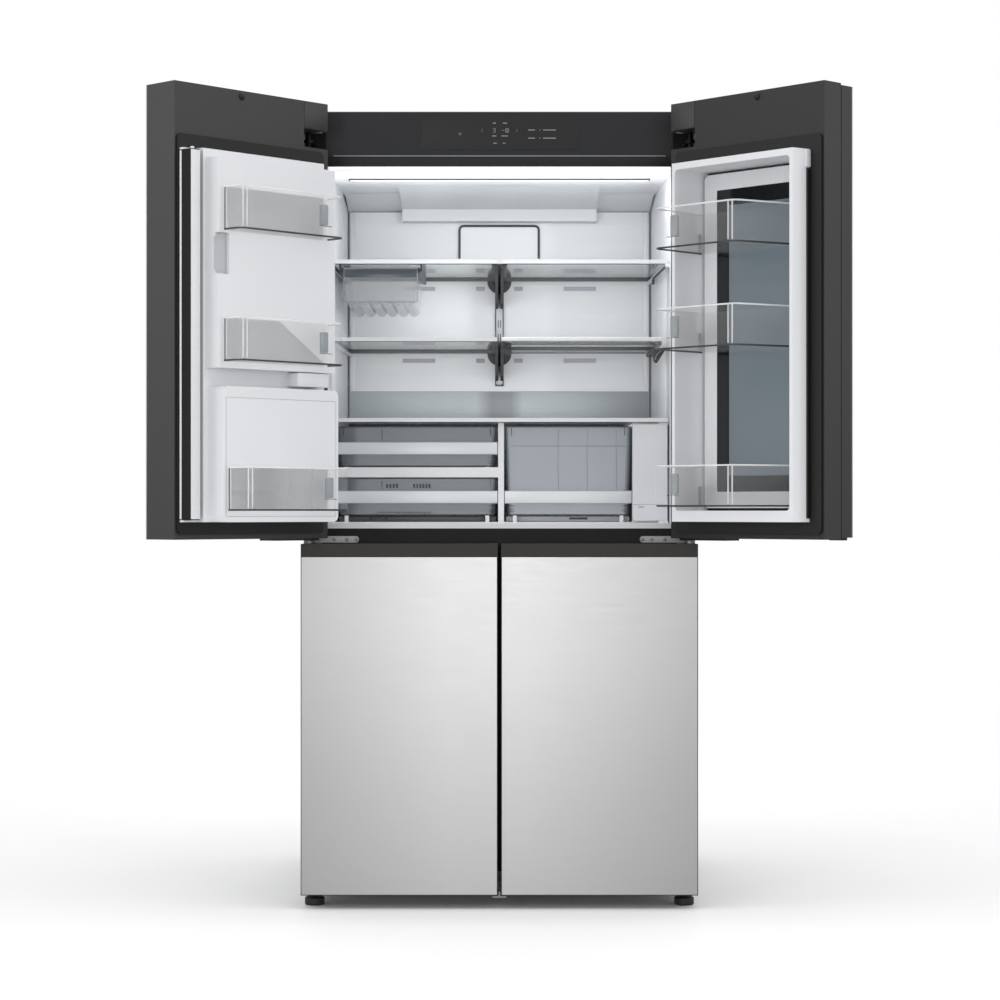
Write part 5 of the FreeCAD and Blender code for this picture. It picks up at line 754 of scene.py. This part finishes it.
class FRIDGE_OT_crispers(Operator):
    """Make the crispers' silver bars, dark edges, inner lines and slots"""
    bl_idname = "fridge.crispers"
    bl_label = "Crispers"

    def execute(self, context):
        for name in ("upper_crisper", "lower_crisper", "right_crisper"):
            (x0, x1), (y0, _), (z0, z1) = spans(name)[0]
            face, deep = y0 + CRISPER_FACE, name == "right_crisper"
            piece(name + "_bar", [slab((x0 - 0.4, x1 + 0.4), (y0 - 0.5, face - 1), z0 + CRISPER_BAR_UP,
                                       3, 0.6, 0)], name, "bar_abs_satin_silver")
            y, foot = face - 0.6, z0 + 1.6
            lean = [(x0 + 1, y, z1 - 3), (x0 + CRISPER_TAPER, y, foot),
                    (x1 - CRISPER_TAPER, y, foot), (x1 - 1, y, z1 - 3)]
            edges = [run(bowed(lean, 9), 2.4, 2.2, (0, 1, 0)),
                     slab((x0 + 2, x1 - 2), (face - 1, face + 0.4), (z1 - 2.2, z1 - 0.4), 0.4)]
            y = (face - 0.8, face + 0.2)
            for x in (x0 + 16, x1 - 16):
                edges += [slab((x - 7, x + 7), y, (z0 + up, z0 + up + 1.4), 0.3, 0.1) for up in CATCHES_UP]
                edges.append(slab((x - 0.8, x + 0.8), y, (z1 - 22, z1 - 3), 0.3, 0.1))
            piece(name + "_edges", edges, name, "line_abs_charcoal")
            y = (face - 0.5, face + 0.2)
            places = [x0 + (x1 - x0) * part for part in ((0.42, 0.65, 0.88) if deep else (0.28,))]
            lines = [slab((x, x + 1.4), y, (z0 + 62, z1 - 8), 0.3, 0.1) for x in places]
            if deep:
                lines.append(slab((x0 + 12, x1 - 12), y, (z0 + 166, z0 + 167.6), 0.3, 0.1))
            piece(name + "_lines", lines, name, "vent_abs_grey" if deep else "line_abs_charcoal")
        _, (y0, _), (z0, z1) = spans("lower_crisper")[0]
        y = (y0 + 7.9, y0 + 9.2)
        # The dark teeth and comb marks stand for the crisper's slots: painted shade inside them.
        teeth = [slab((x, x + 4.4), y, (z1 - 24, z1 - 14), 0.8, 0.2) for x in TEETH_X]
        teeth += [slab((x, x + 3.4), y, (z0 + 5, z0 + 9), 0.6, 0.2) for x in COMB_X]
        piece("crisper_slots", teeth, "lower_crisper", "line_abs_charcoal")
        for name, x, finish in FLOORS:
            piece(name + "_crisper_floor", [slab(x, (y0 + 22, y0 + 30), (z0 - 14.6, z0 - 2.2), 1.5, 0.6)],
                  "cabinet", finish)
        # Dark slabs over the floor pieces' slots: painted shade inside them.
        piece("crisper_floor_slots", [slab(x, (y0 + 21.4, y0 + 22.4), (z0 - 9.6, z0 - 4.6), 1, 0.2)
                                      for x in FLOOR_SLOTS_X],
              "cabinet", "line_abs_charcoal")
        (x0, x1), (y0, _), (z0, _) = spans("filter_cover")[0]
        y = (y0 - 0.3, y0 + 0.3)
        piece("filter_seam", [slab((x0 + 1, x1 - 1), y, (z0 + 43, z0 + 44.6), 0.3, 0.1),
                              slab((x0 + 14, x0 + 27), y, (z0 + 36, z0 + 40), 0.8, 0.1)],
              "filter_cover", "seam_abs_grey")
        return {"FINISHED"}


CAP_X, CAP_FOOT = (1, 73), 1791
BUMPER_X, BUMPER_DROP, BUMPER_RISE = 261, 13, 5.4


def cap_and_bumper(side, back_of):
    """The plate over a door's hinge, and a domed rubber stop: a quarter ellipse turned about the depth."""
    back, top = spans(side + "_door_frame", back_of)[0][1:, 1]
    piece(side + "_hinge_cap", [slab(CAP_X, (back - 0.4, back + 0.7), (CAP_FOOT, top - 1), 1)],
          side + "_door", "hinge_cap_abs")
    angle = np.linspace(0, np.pi / 2, 7)
    dome = np.column_stack([sizes().bumper * MM * np.cos(angle), BUMPER_RISE * np.sin(angle)])
    piece(side + "_bumper", [turned(dome, (BUMPER_X, back, top - BUMPER_DROP), (0, 1, 0))],
          side + "_door", "rubber_black")
    return back


STEP_X, STEP_Y, STEP_DROP = (70, 163), 139, (-33, -1.5)
BULGE_X, BULGE_Z = (62, 388), (902, 1162)
LATCH_UP = 19.5  # the latch plate's middle above the cover's
LATCH = np.array([(-33, -44), (-12, -44), (-0.5, -34), (-0.5, 34), (-12, 44), (-33, 44)])
MULLION_KNOB = ((5, 0), (5, 3), (3.5, 5), (0.5, 5.4))


class FRIDGE_OT_left_door(Operator):
    """Make the left door's cap, bumper, step block, panel line, latch plate and mullion strips"""
    bl_idname = "fridge.left_door"
    bl_label = "Left door fittings"

    def execute(self, context):
        cap_and_bumper("left", from_left_door)
        (_, edge), (_, face), (low, high) = spans("ice_cover", from_left_door)[0]
        bulge = spans("left_door_liner", from_left_door)[0][1, 1]
        piece("step_block", [slab(STEP_X, (STEP_Y, face - 4), low + STEP_DROP, 3, 2)],
              "left_door", "liner_polystyrene")
        piece("bulge_line", [ring(BULGE_X, BULGE_Z, (bulge - 0.4, bulge + 0.3), 1.2, 4)],
              "left_door", "seam_abs_grey")
        piece("latch_plate", [prism(LATCH + (edge, (low + high) / 2 + LATCH_UP), (face - 11.9, face - 9.5))],
              "ice_cover", "insert_abs_grey")
        (x0, x1), (y0, y1), (z0, z1) = spans("mullion_bar", from_left_door)[0]
        piece("mullion_face", [slab((x0 + 0.6, x1 - 0.2), (y1 - 1, y1 + 0.6), (z0 + 2, z1 - 2), 1),
                               slab((x1 - 0.3, x1 + 0.5), (y0 + 0.5, y0 + 7), (z0 + 2, z1 - 2), 0.4),
                               turned(MULLION_KNOB, (x1 - 9, y1 - 7, z1), (0, 0, 1))],
              "mullion", "trim_abs_white")
        return {"FINISHED"}


class FRIDGE_OT_right_door(Operator):
    """Make the right door's cap, bumper, black strip, the window's black border and the glide below"""
    bl_idname = "fridge.right_door"
    bl_label = "Right door fittings"

    def execute(self, context):
        back = cap_and_bumper("right", from_right_door)
        (_, free), _, (z0, z1) = spans("right_door_liner", from_right_door)[0]
        piece("post_strip", [slab((free - 4, free + 2.4), (back + 6, back + 14), (z0 + 8, z1 - 42), 1)],
              "right_door", "rubber_black")
        piece("post_step", [slab((free - 4, free + 4), (back + 6, back + 20), (z1 - 40, z1 - 2), 2)],
              "right_door", "trim_abs_white")
        (x0, x1), (_, y1), (z0, z1) = spans("window_glass", from_right_door)[0]
        piece("window_border", [ring((x0 + 0.3, x1 - 0.3), (z0 + 0.3, z1 - 0.3), (y1 - 0.2, y1 + 0.5),
                                     sizes().frit * MM, 3)],
              "outer_door", "frit_ceramic_fired")
        (_, x1), (y0, _), (z0, _) = spans("outer_door_frame", from_right_door)[0]
        piece("outer_door_glide", [slab((x1 - 40, x1 - 2), (y0 + 10, y0 + 34), (z0 - 6, z0 + 0.4), 6, 0.8, 2)],
              "outer_door", "rubber_black")
        return {"FINISHED"}


# How far a basket's walls stand in from its node's box: X at the left rear, left front, right front and
# right rear, and Y at the rear.
BASKET_INSETS = {"left_door": (1, 1, -1, -1, 4), "ice_cover": (1, 1, -1, -1, 4),
                 "right_door": (10, 18.5, -81.5, -42, 8)}
BASKET_BEND = 17
RIBS_IN = (8, 20)
CLIP_X, CLIP_Y, CLIP_UP = (36, 58), (-20, -13), (28, 74)
CLIP_LINE_X, CLIP_LINE_Y, CLIP_LINE_UP = (26, 64), (-14, -12.6), (25, 26.6)


class FRIDGE_OT_baskets(Operator):
    """Make the door baskets' dark lower edges, light rims, ribs and clips"""
    bl_idname = "fridge.baskets"
    bl_label = "Door baskets"

    def execute(self, context):
        line = sizes().line * MM
        groups = (("left_basket", "left_door", "left_door_basket", from_left_door),
                  ("ice_baskets", "ice_cover", "ice_cover_baskets", from_left_door),
                  ("right_baskets", "right_door", "right_door_baskets", from_right_door))
        for name, body, node, back_of in groups:
            low, rims, clips = [], [], []
            left_rear, left_front, right_front, right_rear, rear = BASKET_INSETS[body]
            for (x0, x1), (y0, y1), (z0, z1) in spans(node, back_of):
                left, right, end, back = x0 + left_front, x1 + right_front, x1 + right_rear, y0 + rear
                plan = [(x0 + left_rear, back), (left, y1 - 0.9), (right, y1 - 0.9), (end, back)]
                low.append(run(bowed([(*p, z0 + 1.6) for p in plan], BASKET_BEND), line, line * 1.3))
                rims.append(run(bowed([(*p, z1 - 1.2) for p in plan], BASKET_BEND), line, line * 1.2))
                rims += [slab((right - x, right - x + 1.8), (y1 - 2.8, y1 + 0.2), (z0 + 5, z1 - 3), 0.5)
                         for x in RIBS_IN]
                low.append(slab((end - 1.2, end + 0.6), (back, back + 2), (z0 + 3, z1 - 2), 0.5))
                clips.append(slab(left + CLIP_X, y1 + CLIP_Y, z0 + CLIP_UP, 3, 2))
                low.append(slab(left + CLIP_LINE_X, y1 + CLIP_LINE_Y, z0 + CLIP_LINE_UP, 0.5))
            piece(name + "_edges", low, body, "line_abs_charcoal")
            piece(name + "_rims", rims, body, "basket_rim_clear")
            piece(name + "_clips", clips, body, "clip_san_grey")
        return {"FINISHED"}


TOUCH_RING_DROP, TOUCH_BAR_DROP = (-64, -52), (-78, -76)
GRID_INSET, GRID_STEP = 12, 8


class FRIDGE_OT_dispenser(Operator):
    """Make the dispenser panel's plain touch marks and the tray's grid"""
    bl_idname = "fridge.dispenser"
    bl_label = "Dispenser"

    def execute(self, context):
        (x0, x1), (y0, _), (_, z1) = spans("dispenser_housing", from_left_door)[0]
        y, places = (y0 - 0.25, y0 + 0.1), np.linspace(x0 + 30, x1 - 30, 4)
        marks = [ring((x - 6, x + 6), z1 + TOUCH_RING_DROP, y, 1.0, 6) for x in places]
        marks += [slab((x - 5, x + 5), y, z1 + TOUCH_BAR_DROP, 0.5, 0.1) for x in places]
        piece("touch_marks", marks, "left_door", "mark_ink_printed")
        (x0, x1), (y0, y1), (_, z1) = spans("drip_tray", from_left_door)[0]
        grid = [slab((x, x + 3), (y0 + 10, y1 - 8), (z1 - 1.5, z1 - 0.2), 0.5, 0.2)
                for x in np.arange(x0 + GRID_INSET, x1 - GRID_INSET, GRID_STEP)]
        piece("tray_grid", grid, "drip_tray", "screw_zinc")
        return {"FINISHED"}


SCREWS_X, SCREWS_UP, SCREWS_PROUD = (334, 356, 386), 9.4, 3


class FRIDGE_OT_screws(Operator):
    """Make the screws of the middle hinges"""
    bl_idname = "fridge.screws"
    bl_label = "Hinge screws"

    def execute(self, context):
        radius = sizes().screw * MM
        socket = radius * 0.45
        head = [(0.2, 0.5), (socket, 0.5), (socket, 1.6), (radius * 0.8, 1.5), (radius, 0.8), (radius, 0)]
        face, middle = FASCIA[1, 0] - SCREWS_PROUD, spans("lower_left_body")[0][2, 1] + SCREWS_UP
        piece("hinge_screws", [turned(head, (side * x, face, middle), (0, -1, 0), 20)
                               for side in (-1, 1) for x in SCREWS_X],
              "cabinet", "screw_zinc")
        return {"FINISHED"}


class FRIDGE_OT_sill(Operator):
    """Make the painted shade along the lower doors' folded edges and the painted sill below the freezer rooms"""
    bl_idname = "fridge.sill"
    bl_label = "Lower doors and sill"

    def execute(self, context):
        for side in ("left", "right"):
            x, (face, _), z = spans("lower_%s_panel" % side)[0]
            # A thin near black ring of painted shade along the steel front's folded edge.
            piece("lower_%s_hem" % side, [ring(x, z, (face - 0.15, face + 0.3), 1.8, 1)],
                  "lower_%s_door" % side, "hem_painted_shade")
        across, _, (under, _) = spans("freezer_liners")[0]
        face, base = spans("insulation")[0][1, 0], spans("base_chassis")[0][2, 1]
        piece("freezer_sill", [slab(across, (face - 1.1, face - 0.1), (base + 0.4, under - 0.3), 0.4, 0.2)],
              "cabinet", "case_paint_grey")
        return {"FINISHED"}


# Soft lights: place in metres, turn in degrees, width, height and watts. The last five are in the cabinet.
LIGHTS = (("front", (0, -5.6, 0.75), (90, 0, 0), 1.5, 1.3, 21),
          ("front_left", (-2.5, -5.0, 1.5), (86, 0, -26), 1.2, 1.8, 36),
          ("front_right", (2.5, -5.0, 1.5), (86, 0, 26), 1.2, 1.8, 18),
          ("left", (-3.8, -1.2, 2.0), (74, 0, -72), 2.0, 2.4, 22),
          ("right", (3.8, -1.2, 2.0), (74, 0, 72), 2.0, 2.4, 22),
          ("top", (0, -0.8, 4.2), (0, 0, 0), 4.0, 3.0, 40),
          ("rear", (0, 4.8, 2.0), (-82, 0, 0), 3.0, 2.4, 60),
          ("cabinet", (0, FRONT + 0.2, 1.705), (8, 0, 0), 0.72, 0.12, 2.1),
          ("cabinet_fill", (0, FRONT + 0.3, 1.33), (90, 0, 0), 0.74, 0.36, 1.3),
          ("ceiling", (0, FRONT + 0.25, 1.62), (180, 0, 0), 0.8, 0.2, 0.9),
          ("left_wall", (-0.06, FRONT + 0.45, 1.42), (0, 90, 0), 0.16, 0.3, 0.35),
          ("crispers", (0, FRONT + 0.45, 1.125), (0, 0, 0), 0.74, 0.3, 0.5))
FLOOR_HALF, FADE_FROM, FADE_TO = 5, 1.6, 4.5  # metres
FLOOR_IN_GLOSS = 0.4  # how much of the floor a reflection sees
ROOM_LIGHT, ROOM_BELOW, ROOM_BLEND = 0.74, 0.32, 0.25  # strength, grey of the lower half, height of the blend
CAMERA_PLACE = (0, FRONT - 5.782, 0.915)
SENSOR, FOCAL, SHIFT = 36.0, 90.72, (0.0006, 0.0107)  # millimetres, and parts of the frame


class FRIDGE_OT_stage(Operator):
    """Set the pale floor, the soft lights and the camera"""
    bl_idname = "fridge.stage"
    bl_label = "Stage"

    def execute(self, context):
        scene = context.scene
        # Matt white studio floor that fades out to the white room, so that no far edge shows.
        tree, shader, coordinates = begin("studio_floor", 0.9)
        paper = add(tree, "ShaderNodeTexNoise", {"Vector": coordinates, "Scale": 2.0})
        mixed = add(tree, "ShaderNodeMix", {0: paper.outputs["Fac"], MIX_A: tone("fdfdfd"), MIX_B: tone("fafafa")},
                    data_type="RGBA")
        far = add(tree, "ShaderNodeVectorMath", {0: coordinates}, operation="LENGTH")
        fade = add(tree, "ShaderNodeMapRange", {0: far.outputs["Value"], FROM_LOW: FADE_FROM, FROM_HIGH: FADE_TO,
                                                TO_LOW: 1.0, TO_HIGH: 0.0})
        # Reflections see less of the floor than the eye, as in a room whose floor is not all white.
        glossy = add(tree, "ShaderNodeMapRange", {0: add(tree, "ShaderNodeLightPath").outputs["Is Glossy Ray"],
                                                  TO_LOW: 1.0, TO_HIGH: FLOOR_IN_GLOSS})
        shown = add(tree, "ShaderNodeMath", {0: fade.outputs[0], 1: glossy.outputs[0]}, operation="MULTIPLY")
        feed(tree, shader, {"Base Color": mixed.outputs[2], "Alpha": shown.outputs[0]})
        sheet = bpy.data.meshes.new("studio_floor")
        half = FLOOR_HALF
        sheet.from_pydata([(-half, -half, 0), (half, -half, 0), (half, half, 0), (-half, half, 0)], [],
                          [(0, 1, 2, 3)])
        sheet.materials.append(MATERIALS["studio_floor"])
        floor = bpy.data.objects.new("studio_floor", sheet)
        scene.collection.objects.link(floor)

        world = bpy.data.worlds.new("studio")
        world.use_nodes = True
        tree = world.node_tree
        ground = tree.nodes["Background"]
        seen = add(tree, "ShaderNodeBackground", {0: (1, 1, 1, 1), 1: 1.0})
        which = add(tree, "ShaderNodeLightPath")
        mixed = add(tree, "ShaderNodeMixShader", {0: which.outputs["Is Camera Ray"], 1: ground.outputs[0],
                                                  2: seen.outputs[0]})
        # The room is grey below and white above, which grades the steel from its foot up.
        way = add(tree, "ShaderNodeSeparateXYZ", {0: add(tree, "ShaderNodeTexCoord").outputs["Generated"]})
        level = add(tree, "ShaderNodeMapRange", {0: way.outputs[2], FROM_LOW: -ROOM_BLEND, FROM_HIGH: ROOM_BLEND,
                                                 TO_LOW: ROOM_BELOW, TO_HIGH: 1.0})
        feed(tree, ground, {0: level.outputs[0], 1: ROOM_LIGHT})
        feed(tree, tree.nodes["World Output"], {0: mixed.outputs[0]})
        scene.world = world
        scene.view_settings.view_transform = "Standard"

        for name, place, turn, wide, tall, power in LIGHTS:
            lamp = bpy.data.lights.new(name, "AREA")
            lamp.shape, lamp.size, lamp.size_y, lamp.energy = "RECTANGLE", wide, tall, power
            holder = bpy.data.objects.new(name, lamp)
            holder.location = place
            holder.rotation_euler = [math.radians(angle) for angle in turn]
            scene.collection.objects.link(holder)

        data = bpy.data.cameras.new("camera")
        data.sensor_width, data.lens = SENSOR, FOCAL
        data.shift_x, data.shift_y = SHIFT
        camera = bpy.data.objects.new("camera", data)
        camera.location = CAMERA_PLACE
        camera.rotation_euler = (math.pi / 2, 0, 0)
        scene.collection.objects.link(camera)
        scene.camera = camera
        return {"FINISHED"}


OPERATORS = (FRIDGE_OT_finishes, FRIDGE_OT_display, FRIDGE_OT_ceiling, FRIDGE_OT_back_wall, FRIDGE_OT_shelves,
             FRIDGE_OT_utility, FRIDGE_OT_crispers, FRIDGE_OT_left_door, FRIDGE_OT_right_door, FRIDGE_OT_baskets,
             FRIDGE_OT_dispenser, FRIDGE_OT_screws, FRIDGE_OT_sill, FRIDGE_OT_stage)


class FRIDGE_PT_panel(Panel):
    """The refrigerator's sizes, colours and pieces"""
    bl_idname = "FRIDGE_PT_panel"
    bl_label = "Refrigerator"
    bl_space_type = "VIEW_3D"
    bl_region_type = "UI"
    bl_category = "Refrigerator"

    def draw(self, context):
        for group in (context.scene.fridge_colours, context.scene.fridge_sizes):
            for name in group.__annotations__:
                self.layout.prop(group, name)
        for made in OPERATORS:
            self.layout.operator(made.bl_idname)


CLASSES = (FRIDGE_PG_colours, FRIDGE_PG_sizes, *OPERATORS, FRIDGE_PT_panel)


def register():
    for made in CLASSES:
        bpy.utils.register_class(made)
    bpy.types.Scene.fridge_colours = bpy.props.PointerProperty(type=FRIDGE_PG_colours)
    bpy.types.Scene.fridge_sizes = bpy.props.PointerProperty(type=FRIDGE_PG_sizes)


def unregister():
    del bpy.types.Scene.fridge_sizes, bpy.types.Scene.fridge_colours
    for made in reversed(CLASSES):
        bpy.utils.unregister_class(made)


def main():
    register()
    bpy.ops.fridge.finishes()
    bpy.ops.fridge.display()
    bpy.ops.fridge.ceiling()
    bpy.ops.fridge.back_wall()
    bpy.ops.fridge.shelves()
    bpy.ops.fridge.utility()
    bpy.ops.fridge.crispers()
    bpy.ops.fridge.left_door()
    bpy.ops.fridge.right_door()
    bpy.ops.fridge.baskets()
    bpy.ops.fridge.dispenser()
    bpy.ops.fridge.screws()
    bpy.ops.fridge.sill()
    bpy.ops.fridge.stage()


if __name__ == "__main__":
    main()
